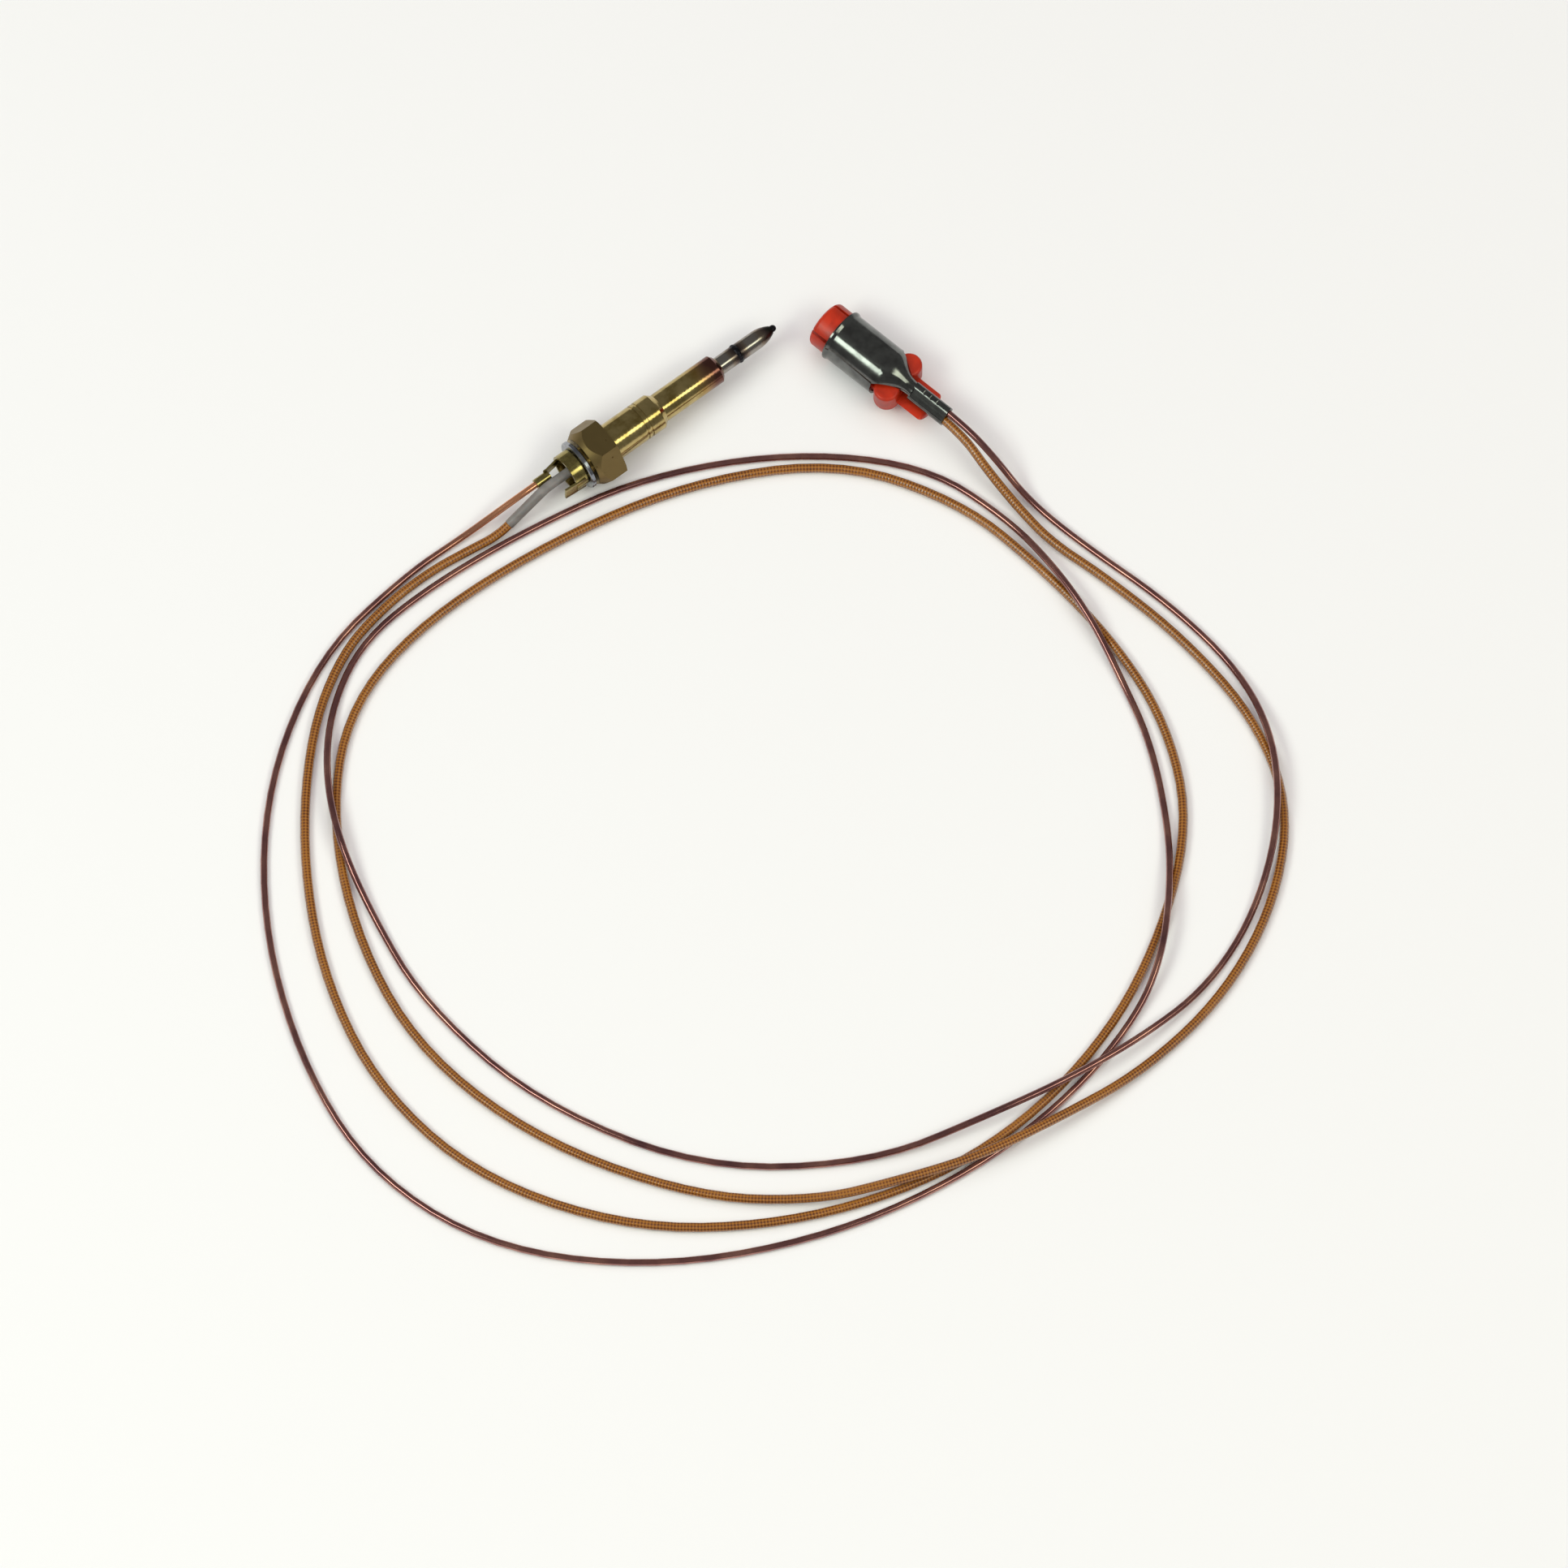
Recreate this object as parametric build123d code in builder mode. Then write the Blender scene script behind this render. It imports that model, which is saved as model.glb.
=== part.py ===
"""Gas hob thermocouple: brass burner head, two free leads and a push-on coaxial connector.

Frame: the origin is the centre of the hexagon's front (seating) face. +X runs along the
head's axis towards the probe tip, +Z is up. The head lies on one flat of its hexagon.
"""

from build123d import *

import math
import os

os.makedirs("parts", exist_ok=True)

# ---------------------------------------------------------------- driving sizes, mm
HEX_ACROSS_FLATS = 10.0
HEX_LENGTH = 5.0
HEX_FRONT_CHAMFER = 0.5
HEX_REAR_RADIUS = 4.5          # of the round face that the rear corners are turned down to
HEX_REAR_ANGLE = 35.0          # degrees from the axis

REAR_BODY_DIAMETER = 6.6       # the barrel that locates in the burner's hole
REAR_BODY_LENGTH = 9.9
SHOULDER_LENGTH = 0.9
FRONT_BODY_DIAMETER = 5.2
FRONT_BODY_END = 23.1
FRONT_CHAMFER = 0.5
RING_GROOVE_X = 6.2
RING_GROOVE_WIDTH = 0.4
RING_GROOVE_DEPTH = 0.2
RING_GROOVE_PITCH = 0.9

SPIGOT_DIAMETER = 5.0          # behind the hexagon, where the washer turns
SPIGOT_LENGTH = 1.5
RIVET_NECK_DIAMETER = 3.6
RIVET_LIP_DIAMETER = 4.4
RIVET_LIP_LENGTH = 0.35

PROBE_DIAMETER = 3.2
PROBE_WALL = 0.3
PROBE_SOCKET_DEPTH = 16.0
WELD_RING_X = 26.8
WELD_RING_WIDTH = 0.8
WELD_RING_DIAMETER = 3.5
CONE_START = 31.2
CONE_END = 34.4
CONE_END_DIAMETER = 1.5
TIP_WALL_END = 32.2
NIB_END = 35.4
NIB_DIAMETER = 1.2
BRAZE_LEG = 0.3

ELECTRODE_DIAMETER = 0.7
INSULATION_DIAMETER = 1.9
BUSH_DIAMETER = 2.5
BUSH_LENGTH = 4.6
BUSH_FLANGE_DIAMETER = 3.1
BUSH_FLANGE_LENGTH = 0.45

WASHER_DIAMETER = 9.0
WASHER_THICKNESS = 0.8
WASHER_TERMINAL_GAP = 0.15

TERMINAL_DIAMETER = 6.8
TERMINAL_SHEET = 0.45
TERMINAL_RIM = 1.8             # how far the terminal's edge is turned back
WING_LENGTH = 4.5
WING_HEIGHT = 3.2
ARM_LENGTH = 4.0
ARM_WIDTH = 2.2
ARM_FOOT = 0.6                 # the arm's flat foot on the crimp
ARM_FOOT_SHEET = 0.25
CRIMP_DIAMETER = 1.8
CRIMP_LENGTH = 2.8

COPPER_DIAMETER = 1.2          # lacquered copper earth lead
INSULATED_DIAMETER = 1.6       # glass-fibre sleeved electrode lead
CORE_DIAMETER = 0.6
SLEEVE_DIAMETER = 1.7
SLEEVE_BORE = 1.3
SLEEVE_BEND_X = -13.0
SLEEVE_BEND_RADIUS = 6.0
FERRULE_DIAMETER = 1.15
FERRULE_LENGTH = 3.0
FERRULE_X = -8.8

SHELL_DIAMETER = 9.0
SHELL_SHEET = 0.4
SHELL_LENGTH = 10.2
LIP_DIAMETER = 9.5
LIP_LENGTH = 0.8
SEAM_GAP = 0.35
SHOULDER_END = 16.4
BARREL_END = 23.5
BARREL_SHEET = 0.3
CRIMP_MARK_RADIUS = 0.7        # of the tool's ridges, which dent the barrel's top
CRIMP_MARK_DEPTH = 0.12
CRIMP_MARKS = (18.4, 19.8, 21.2)
BARREL_HEIGHT = 1.0            # barrel's middle above the connector's axis
LEAD_SPREAD = 0.5              # each lead's sideways place in the barrel
COPPER_LIFT = 0.6              # copper lead above the barrel's middle
INSULATED_DROP = 0.5           # insulated lead below the barrel's middle

INSULATOR_BODY_END = 9.9
SADDLE_RADIUS = 3.7
SADDLE_TOP = 0.4
SADDLE_END = 14.6
NOSE_DIAMETER = 8.3
NOSE_REACH = 3.6
NOSE_BORE = 5.6
NOSE_DEPTH = 5.6
NOSE_ROUND = 0.8
SLIT_WIDTH = 0.6
SLIT_DEPTH = 3.4
SLIT_COUNT = 4
SLIT_ANGLE = 54.0
EAR_RADIUS = 2.2
EAR_OFFSET = 2.9
EAR_X = 12.7
EAR_TOP = 1.7
EAR_BOTTOM = -2.6
TONGUE_WIDTH = 6.1
TONGUE_END = 20.0
TONGUE_GAP = 0.15             # below the barrel
TONGUE_CHANNEL = 1.6
TONGUE_ROUND = 0.6
EAR_ROUND = 0.5

CONTACT_BORE = 2.4             # takes the valve's centre pin
CONTACT_WALL = 0.35
CONTACT_FRONT = -1.6
CONTACT_BACK = 5.6
CONTACT_TAIL_DIAMETER = 1.3
CONTACT_TAIL_END = 10.6

RUNNING_CLEARANCE = 0.05       # radial, washer on spigot
FIT_CLEARANCE = 0.03           # radial, pushed-in and crimped pieces
EDGE_ROUND = 0.15

# ---------------------------------------------------------------- places
TABLE_Z = -HEX_ACROSS_FLATS / 2
HEX_BACK = -HEX_LENGTH
SPIGOT_BACK = HEX_BACK - SPIGOT_LENGTH
TERMINAL_BACK = SPIGOT_BACK - TERMINAL_SHEET
LIP_BACK = TERMINAL_BACK - RIVET_LIP_LENGTH
PROBE_BACK = FRONT_BODY_END - PROBE_SOCKET_DEPTH
PROBE_BORE = PROBE_DIAMETER - 2 * PROBE_WALL
WIRE_BORE = INSULATION_DIAMETER + 2 * FIT_CLEARANCE
BUSH_FRONT = LIP_BACK + BUSH_LENGTH
BUSH_BACK = LIP_BACK - BUSH_FLANGE_LENGTH
CRIMP_Y = (SLEEVE_DIAMETER + CRIMP_DIAMETER) / 2 - 0.05
CRIMP_Z = -0.5
CRIMP_FRONT = TERMINAL_BACK - ARM_LENGTH
CRIMP_BACK = CRIMP_FRONT - CRIMP_LENGTH

MOUTH_X = 43.1
MOUTH_Y = -7.8
TAIL_HEADING = -78.3           # degrees from +X, seen from above
MOUTH_Z = TABLE_Z + LIP_DIAMETER / 2

tail = Vector(math.cos(math.radians(TAIL_HEADING)), math.sin(math.radians(TAIL_HEADING)), 0)
mouth_point = Vector(MOUTH_X, MOUTH_Y, MOUTH_Z)
side = Vector(0, 0, 1).cross(tail)
mouth = Plane(origin=mouth_point, x_dir=side, z_dir=tail)            # looks up the tail, y up
plan = Plane(origin=mouth_point, x_dir=tail, z_dir=(0, 0, 1))        # from above
elevation = Plane(origin=mouth_point, x_dir=tail, z_dir=-side)       # from the side, y up
connector_axis = Axis(mouth_point, tail)


def in_connector(along, across, up):
    """A point given by its place in the connector: along the tail, sideways and up."""
    return mouth_point + tail * along + side * across + Vector(0, 0, up)


BARREL_BOTTOM = BARREL_HEIGHT - INSULATED_DROP - INSULATED_DIAMETER / 2 - FIT_CLEARANCE - BARREL_SHEET
TONGUE_TOP = BARREL_BOTTOM - TONGUE_GAP
COPPER_IN_BARREL = (LEAD_SPREAD, BARREL_HEIGHT + COPPER_LIFT)
INSULATED_IN_BARREL = (-LEAD_SPREAD, BARREL_HEIGHT - INSULATED_DROP)
LEAD_GRIP = 4.0                # length of both leads inside the barrel
LEAD_STOP = BARREL_END - LEAD_GRIP
BARREL_STRAIGHT = 3.4          # how far the leads run straight out of the barrel
CRIMP_STRAIGHT = 2.3           # and the copper lead out of the terminal's crimp

# Points of each lead between its two fixed ends: x, y, height of its centre above the table.
COPPER_ROUTE = [
    (-21.5, 2.3, 2.6), (-28.5, 2.9, 0.6), (-40.0, 3.2, 0.6),
    (-60.0, 0.4, 0.6), (-81.0, -12.5, 0.6), (-97.0, -32.0, 0.6), (-107.2, -56.0, 0.6),
    (-110.2, -79.0, 0.6), (-102.5, -102.0, 0.6), (-83.0, -121.5, 0.6), (-57.0, -134.5, 0.6),
    (-31.0, -139.8, 0.6), (-9.0, -138.9, 0.6), (8.0, -134.2, 0.6), (17.0, -129.0, 2.7),
    (25.0, -121.0, 2.8), (32.6, -111.0, 0.7), (40.0, -96.5, 0.6), (43.2, -84.0, 0.6),
    (45.2, -74.0, 2.8), (46.2, -63.0, 2.7), (45.9, -50.0, 0.6), (41.0, -34.0, 0.6),
    (25.0, -18.5, 0.6), (3.0, -7.0, 0.6), (-18.0, -2.7, 0.6), (-38.0, -0.9, 0.6),
    (-53.0, -1.9, 0.6), (-64.5, -8.4, 0.6), (-73.0, -18.0, 2.7), (-78.5, -29.0, 2.8),
    (-81.7, -42.0, 0.6), (-84.6, -60.0, 0.6), (-80.8, -85.5, 0.6), (-66.3, -112.0, 0.6),
    (-43.0, -128.5, 0.6), (-22.0, -134.2, 2.7), (-8.0, -137.0, 2.8), (6.0, -138.3, 2.4),
    (20.0, -137.3, 0.6), (34.0, -132.0, 0.6), (46.8, -122.5, 2.7), (55.8, -110.0, 2.8),
    (59.6, -96.0, 0.6), (57.9, -79.0, 0.6), (52.9, -61.0, 0.6), (50.6, -49.5, 0.9),
    (49.9, -41.2, 4.7),
]
INSULATED_ROUTE = [
    (-23.5, -0.525, 0.8), (-28.5, 0.2, 0.8), (-36.5, 1.2, 0.8), (-46.0, 0.8, 0.8),
    (-57.0, -1.6, 0.8), (-70.0, -10.0, 0.8), (-84.0, -26.0, 0.8), (-95.0, -46.0, 0.8),
    (-100.0, -68.0, 0.8), (-96.5, -91.0, 0.8), (-82.0, -113.5, 0.8), (-62.0, -128.0, 0.8),
    (-40.0, -136.3, 0.8), (-19.0, -138.3, 0.8), (3.0, -133.8, 0.8), (21.0, -124.5, 0.8),
    (36.5, -111.5, 0.8), (44.2, -95.0, 0.8), (46.2, -78.0, 0.8), (44.8, -60.0, 0.8),
    (41.5, -43.0, 0.8), (30.0, -24.5, 0.8), (8.0, -12.5, 0.8), (-17.0, -6.8, 0.8),
    (-43.0, -5.3, 0.8), (-62.0, -10.2, 0.8), (-76.0, -23.5, 0.8), (-86.5, -44.0, 0.8),
    (-90.5, -67.0, 0.8), (-84.5, -92.0, 0.8), (-70.0, -115.5, 0.8), (-55.0, -128.3, 1.6),
    (-42.0, -134.3, 3.0), (-29.0, -138.9, 3.0), (-15.0, -141.4, 3.0), (2.0, -142.8, 0.8),
    (21.0, -140.4, 0.8), (38.0, -132.5, 0.8), (51.0, -120.0, 0.8), (56.3, -104.0, 0.8),
    (55.7, -85.0, 0.8), (52.1, -68.0, 0.8), (49.0, -58.0, 0.8), (48.3, -49.5, 1.4),
    (47.8, -41.8, 3.8),
]
SLEEVE_END = (-21.0, -0.4, 1.8)


def above_table(points):
    """Turn heights above the table into places in the frame."""
    return [Vector(x, y, TABLE_Z + height) for x, y, height in points]


def bend_radii(points):
    """The largest arc that each corner's two runs allow, with a little straight left over."""
    radii = []
    for before, corner, after in zip(points, points[1:], points[2:]):
        turn = math.radians((corner - before).get_angle(after - corner))
        shorter_run = min((corner - before).length, (after - corner).length)
        radii.append(0.45 * shorter_run / math.tan(turn / 2))
    return radii


def check_lead(name, part, line, points, diameter):
    """Print a lead's length and bends, and its volume against section times length."""
    radii = bend_radii(points)
    length = sum(edge.length for edge in line.edges())
    expected = math.pi * diameter**2 / 4 * length
    print(f"{name}: {length:.1f} mm long, tightest bends {sorted(round(r, 1) for r in radii)[:5]} mm")
    print(f"{name}: volume {part.volume:.1f} mm3, section x length {expected:.1f} mm3")


# ---------------------------------------------------------------- head
with BuildPart() as hex_body:
    # The turned barrel, its shoulder, the spigot for the washer and the riveted-over lip.
    with BuildSketch(Plane.XZ) as body_profile:
        with BuildLine():
            Polyline(
                (LIP_BACK, 0),
                (LIP_BACK, RIVET_LIP_DIAMETER / 2),
                (TERMINAL_BACK, RIVET_LIP_DIAMETER / 2),
                (TERMINAL_BACK, RIVET_NECK_DIAMETER / 2),
                (SPIGOT_BACK, RIVET_NECK_DIAMETER / 2),
                (SPIGOT_BACK, SPIGOT_DIAMETER / 2),
                (HEX_BACK, SPIGOT_DIAMETER / 2),
                (HEX_BACK, REAR_BODY_DIAMETER / 2),
                (REAR_BODY_LENGTH, REAR_BODY_DIAMETER / 2),
                (REAR_BODY_LENGTH + SHOULDER_LENGTH, FRONT_BODY_DIAMETER / 2),
                (FRONT_BODY_END - FRONT_CHAMFER, FRONT_BODY_DIAMETER / 2),
                (FRONT_BODY_END, FRONT_BODY_DIAMETER / 2 - FRONT_CHAMFER),
                (FRONT_BODY_END, 0),
                close=True,
            )
        make_face()
    revolve(axis=Axis.X)
    # The hexagon, with its corners turned off at both ends as bar stock is.
    with BuildSketch(Plane.YZ.offset(HEX_BACK)):
        RegularPolygon(radius=HEX_ACROSS_FLATS / 2, side_count=6, major_radius=False)
    extrude(amount=HEX_LENGTH)
    corner_radius = HEX_ACROSS_FLATS / math.sqrt(3)
    rear_taper = (corner_radius + 1 - HEX_REAR_RADIUS) / math.tan(math.radians(HEX_REAR_ANGLE))
    with BuildSketch(Plane.XZ):
        with BuildLine():
            Polyline(
                (HEX_BACK, HEX_REAR_RADIUS),
                (HEX_BACK, corner_radius + 1),
                (HEX_BACK + rear_taper, corner_radius + 1),
                close=True,
            )
        make_face()
    revolve(axis=Axis.X, mode=Mode.SUBTRACT)
    with BuildSketch(Plane.XZ):
        with BuildLine():
            Polyline(
                (0, corner_radius - HEX_FRONT_CHAMFER),
                (0, corner_radius + 1),
                (-HEX_FRONT_CHAMFER, corner_radius + 1),
                close=True,
            )
        make_face()
    revolve(axis=Axis.X, mode=Mode.SUBTRACT)
    # Two fine ring grooves round the barrel.
    for groove in range(2):
        with BuildSketch(Plane.YZ.offset(RING_GROOVE_X + groove * RING_GROOVE_PITCH)):
            Circle(REAR_BODY_DIAMETER / 2 + 1)
            Circle(REAR_BODY_DIAMETER / 2 - RING_GROOVE_DEPTH, mode=Mode.SUBTRACT)
        extrude(amount=RING_GROOVE_WIDTH, mode=Mode.SUBTRACT)
    # Bores: the probe's socket, the insulated wire's way through, and the rear bush's seat.
    with BuildSketch(Plane.YZ.offset(PROBE_BACK)):
        Circle(PROBE_DIAMETER / 2 + FIT_CLEARANCE)
    extrude(amount=PROBE_SOCKET_DEPTH, mode=Mode.SUBTRACT)
    with BuildSketch(Plane.YZ.offset(LIP_BACK)):
        Circle(WIRE_BORE / 2)
    extrude(amount=PROBE_BACK - LIP_BACK, mode=Mode.SUBTRACT)
    with BuildSketch(Plane.YZ.offset(LIP_BACK)):
        Circle(BUSH_DIAMETER / 2 + FIT_CLEARANCE)
    extrude(amount=BUSH_LENGTH, mode=Mode.SUBTRACT)

with BuildPart() as probe_tube:
    with BuildSketch(Plane.YZ.offset(PROBE_BACK)):
        Circle(PROBE_DIAMETER / 2)
        Circle(PROBE_BORE / 2, mode=Mode.SUBTRACT)
    extrude(amount=WELD_RING_X - PROBE_BACK)

with BuildPart() as probe_weld_ring:
    with BuildSketch(Plane.XZ):
        with BuildLine():
            Line((WELD_RING_X, PROBE_BORE / 2), (WELD_RING_X, PROBE_DIAMETER / 2))
            ThreePointArc(
                (WELD_RING_X, PROBE_DIAMETER / 2),
                (WELD_RING_X + WELD_RING_WIDTH / 2, WELD_RING_DIAMETER / 2),
                (WELD_RING_X + WELD_RING_WIDTH, PROBE_DIAMETER / 2),
            )
            Line(
                (WELD_RING_X + WELD_RING_WIDTH, PROBE_DIAMETER / 2),
                (WELD_RING_X + WELD_RING_WIDTH, PROBE_BORE / 2),
            )
            Line((WELD_RING_X + WELD_RING_WIDTH, PROBE_BORE / 2), (WELD_RING_X, PROBE_BORE / 2))
        make_face()
    revolve(axis=Axis.X)

with BuildPart() as probe_tip:
    # A drawn cap: parallel wall, then a slightly bellied cone down to the welded end.
    tip_back = WELD_RING_X + WELD_RING_WIDTH
    with BuildSketch(Plane.XZ):
        with BuildLine():
            Line((tip_back, 0), (tip_back, PROBE_DIAMETER / 2))
            Line((tip_back, PROBE_DIAMETER / 2), (CONE_START, PROBE_DIAMETER / 2))
            TangentArc((CONE_START, PROBE_DIAMETER / 2), (CONE_END, CONE_END_DIAMETER / 2), tangent=(1, 0))
            Line((CONE_END, CONE_END_DIAMETER / 2), (CONE_END, 0))
            Line((CONE_END, 0), (tip_back, 0))
        make_face()
    revolve(axis=Axis.X)
    with BuildSketch(Plane.YZ.offset(tip_back)):
        Circle(PROBE_BORE / 2)
    extrude(amount=TIP_WALL_END - tip_back, mode=Mode.SUBTRACT)

with BuildPart() as hot_junction_bead:
    with BuildSketch(Plane.XZ):
        with BuildLine():
            Line((CONE_END, 0), (CONE_END, NIB_DIAMETER / 2))
            Line((CONE_END, NIB_DIAMETER / 2), (NIB_END - NIB_DIAMETER / 2, NIB_DIAMETER / 2))
            ThreePointArc(
                (NIB_END - NIB_DIAMETER / 2, NIB_DIAMETER / 2),
                (NIB_END - NIB_DIAMETER / 2 * (1 - math.sqrt(0.5)), NIB_DIAMETER / 2 * math.sqrt(0.5)),
                (NIB_END, 0),
            )
            Line((NIB_END, 0), (CONE_END, 0))
        make_face()
    revolve(axis=Axis.X)

with BuildPart() as braze_ring:
    with BuildSketch(Plane.XZ):
        with BuildLine():
            Polyline(
                (FRONT_BODY_END, PROBE_DIAMETER / 2),
                (FRONT_BODY_END, PROBE_DIAMETER / 2 + BRAZE_LEG),
                (FRONT_BODY_END + BRAZE_LEG, PROBE_DIAMETER / 2),
                close=True,
            )
        make_face()
    revolve(axis=Axis.X)

electrode_back = FERRULE_X - FERRULE_LENGTH / 2
with BuildPart() as electrode:
    with BuildSketch(Plane.YZ.offset(electrode_back)):
        Circle(ELECTRODE_DIAMETER / 2)
    extrude(amount=TIP_WALL_END - electrode_back)

with BuildPart() as electrode_insulation:
    with BuildSketch(Plane.YZ.offset(BUSH_FRONT)):
        Circle(INSULATION_DIAMETER / 2)
        Circle(ELECTRODE_DIAMETER / 2 + FIT_CLEARANCE, mode=Mode.SUBTRACT)
    extrude(amount=TIP_WALL_END - 1.5 - BUSH_FRONT)

with BuildPart() as rear_bush:
    with BuildSketch(Plane.YZ.offset(BUSH_BACK)):
        Circle(BUSH_FLANGE_DIAMETER / 2)
    extrude(amount=BUSH_FLANGE_LENGTH)
    with BuildSketch(Plane.YZ.offset(LIP_BACK)):
        Circle(BUSH_DIAMETER / 2)
    extrude(amount=BUSH_LENGTH)
    with BuildSketch(Plane.YZ.offset(BUSH_BACK)):
        Circle(ELECTRODE_DIAMETER / 2 + FIT_CLEARANCE)
    extrude(amount=BUSH_FLANGE_LENGTH + BUSH_LENGTH, mode=Mode.SUBTRACT)

# ---------------------------------------------------------------- behind the hexagon
washer_back = SPIGOT_BACK + WASHER_TERMINAL_GAP
with BuildPart() as retaining_washer:
    with BuildSketch(Plane.YZ.offset(washer_back)):
        Circle(WASHER_DIAMETER / 2)
        Circle(SPIGOT_DIAMETER / 2 + RUNNING_CLEARANCE, mode=Mode.SUBTRACT)
    extrude(amount=WASHER_THICKNESS)
    outer_rims = retaining_washer.edges().filter_by(GeomType.CIRCLE).group_by(SortBy.RADIUS)[-1]
    chamfer(outer_rims, length=EDGE_ROUND)

with BuildPart() as earth_terminal:
    # A pressed brass cup riveted to the spigot.
    with BuildSketch(Plane.YZ.offset(SPIGOT_BACK)):
        Circle(TERMINAL_DIAMETER / 2)
    extrude(amount=-TERMINAL_SHEET - TERMINAL_RIM)
    with BuildSketch(Plane.YZ.offset(TERMINAL_BACK)):
        Circle(TERMINAL_DIAMETER / 2 - TERMINAL_SHEET)
    extrude(amount=-TERMINAL_RIM, mode=Mode.SUBTRACT)
    with BuildSketch(Plane.YZ.offset(SPIGOT_BACK)):
        Circle(RIVET_NECK_DIAMETER / 2 + FIT_CLEARANCE)
    extrude(amount=-TERMINAL_SHEET, mode=Mode.SUBTRACT)
    # The wing bent back on the far side from the crimp.
    wing_face = TERMINAL_DIAMETER / 2 - TERMINAL_SHEET
    with BuildSketch(Plane.XY.offset(-WING_HEIGHT / 2)):
        with BuildLine():
            Polyline(
                (SPIGOT_BACK - TERMINAL_SHEET, -wing_face),
                (SPIGOT_BACK - TERMINAL_SHEET, -wing_face - TERMINAL_SHEET * 0.8),
                (SPIGOT_BACK - WING_LENGTH, -wing_face - TERMINAL_SHEET * 0.2),
                (SPIGOT_BACK - WING_LENGTH, -wing_face + TERMINAL_SHEET * 0.6),
                close=True,
            )
        make_face()
    extrude(amount=WING_HEIGHT)
    # The arm that runs back, leaning in towards the axis, to the crimp.
    with BuildSketch(Plane.XY.offset(CRIMP_Z - ARM_WIDTH / 2)):
        with BuildLine():
            Polyline(
                (SPIGOT_BACK - TERMINAL_SHEET, wing_face),
                (SPIGOT_BACK - TERMINAL_SHEET, wing_face + TERMINAL_SHEET * 0.8),
                (CRIMP_FRONT, CRIMP_Y + CRIMP_DIAMETER / 2),
                (CRIMP_FRONT - ARM_FOOT, CRIMP_Y + CRIMP_DIAMETER / 2),
                (CRIMP_FRONT - ARM_FOOT, CRIMP_Y + CRIMP_DIAMETER / 2 - ARM_FOOT_SHEET),
                (CRIMP_FRONT, CRIMP_Y + CRIMP_DIAMETER / 2 - ARM_FOOT_SHEET),
                close=True,
            )
        make_face()
    extrude(amount=ARM_WIDTH)
    with BuildSketch(Plane.YZ.offset(CRIMP_FRONT)):
        with Locations((CRIMP_Y, CRIMP_Z)):
            Circle(CRIMP_DIAMETER / 2)
    extrude(amount=-CRIMP_LENGTH)
    with BuildSketch(Plane.YZ.offset(CRIMP_FRONT)):
        with Locations((CRIMP_Y, CRIMP_Z)):
            Circle(COPPER_DIAMETER / 2 + FIT_CLEARANCE)
    extrude(amount=-CRIMP_LENGTH, mode=Mode.SUBTRACT)

hex_body.part.label = "hex_body"
probe_tube.part.label = "probe_tube"
probe_weld_ring.part.label = "probe_weld_ring"
probe_tip.part.label = "probe_tip"
hot_junction_bead.part.label = "hot_junction_bead"
braze_ring.part.label = "braze_ring"
electrode.part.label = "electrode"
electrode_insulation.part.label = "electrode_insulation"
rear_bush.part.label = "rear_bush"
retaining_washer.part.label = "retaining_washer"
earth_terminal.part.label = "earth_terminal"

# ---------------------------------------------------------------- splice behind the head
sleeve_end = above_table([SLEEVE_END])[0]
sleeve_bend = Vector(SLEEVE_BEND_X, 0, 0)
sleeve_start = Vector(BUSH_BACK, 0, 0)

with BuildPart() as splice_sleeve:
    with BuildLine():
        FilletPolyline(sleeve_start, sleeve_bend, sleeve_end, radius=SLEEVE_BEND_RADIUS)
    with BuildSketch(Plane(origin=sleeve_start, z_dir=(-1, 0, 0))):
        Circle(SLEEVE_DIAMETER / 2)
        Circle(SLEEVE_BORE / 2, mode=Mode.SUBTRACT)
    sweep()

with BuildPart() as splice_ferrule:
    with BuildSketch(Plane.YZ.offset(FERRULE_X)):
        Circle(FERRULE_DIAMETER / 2)
    extrude(amount=-FERRULE_LENGTH)
    with BuildSketch(Plane.YZ.offset(FERRULE_X)):
        Circle(ELECTRODE_DIAMETER / 2 + FIT_CLEARANCE)
    extrude(amount=-FERRULE_LENGTH, mode=Mode.SUBTRACT)

core_start = Vector(electrode_back, 0, 0)
with BuildPart() as lead_core_head_end:
    with BuildLine():
        FilletPolyline(core_start, sleeve_bend, sleeve_end, radius=SLEEVE_BEND_RADIUS)
    with BuildSketch(Plane(origin=core_start, z_dir=(-1, 0, 0))):
        Circle(CORE_DIAMETER / 2)
    sweep()

splice_sleeve.part.label = "splice_sleeve"
splice_ferrule.part.label = "splice_ferrule"
lead_core_head_end.part.label = "lead_core_head_end"

# ---------------------------------------------------------------- the two leads
copper_points = [Vector(CRIMP_FRONT, CRIMP_Y, CRIMP_Z), Vector(CRIMP_BACK - CRIMP_STRAIGHT, CRIMP_Y, CRIMP_Z)]
copper_points += above_table(COPPER_ROUTE)
copper_points += [in_connector(BARREL_END + BARREL_STRAIGHT, *COPPER_IN_BARREL), in_connector(LEAD_STOP, *COPPER_IN_BARREL)]

with BuildPart() as copper_lead:
    with BuildLine() as copper_line:
        FilletPolyline(*copper_points, radius=bend_radii(copper_points))
    with BuildSketch(Plane(origin=copper_points[0], z_dir=copper_points[1] - copper_points[0])):
        Circle(COPPER_DIAMETER / 2)
    sweep()

insulated_points = [sleeve_end]
insulated_points += above_table(INSULATED_ROUTE)
insulated_points += [
    in_connector(BARREL_END + BARREL_STRAIGHT, *INSULATED_IN_BARREL),
    in_connector(LEAD_STOP, *INSULATED_IN_BARREL),
]

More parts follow.
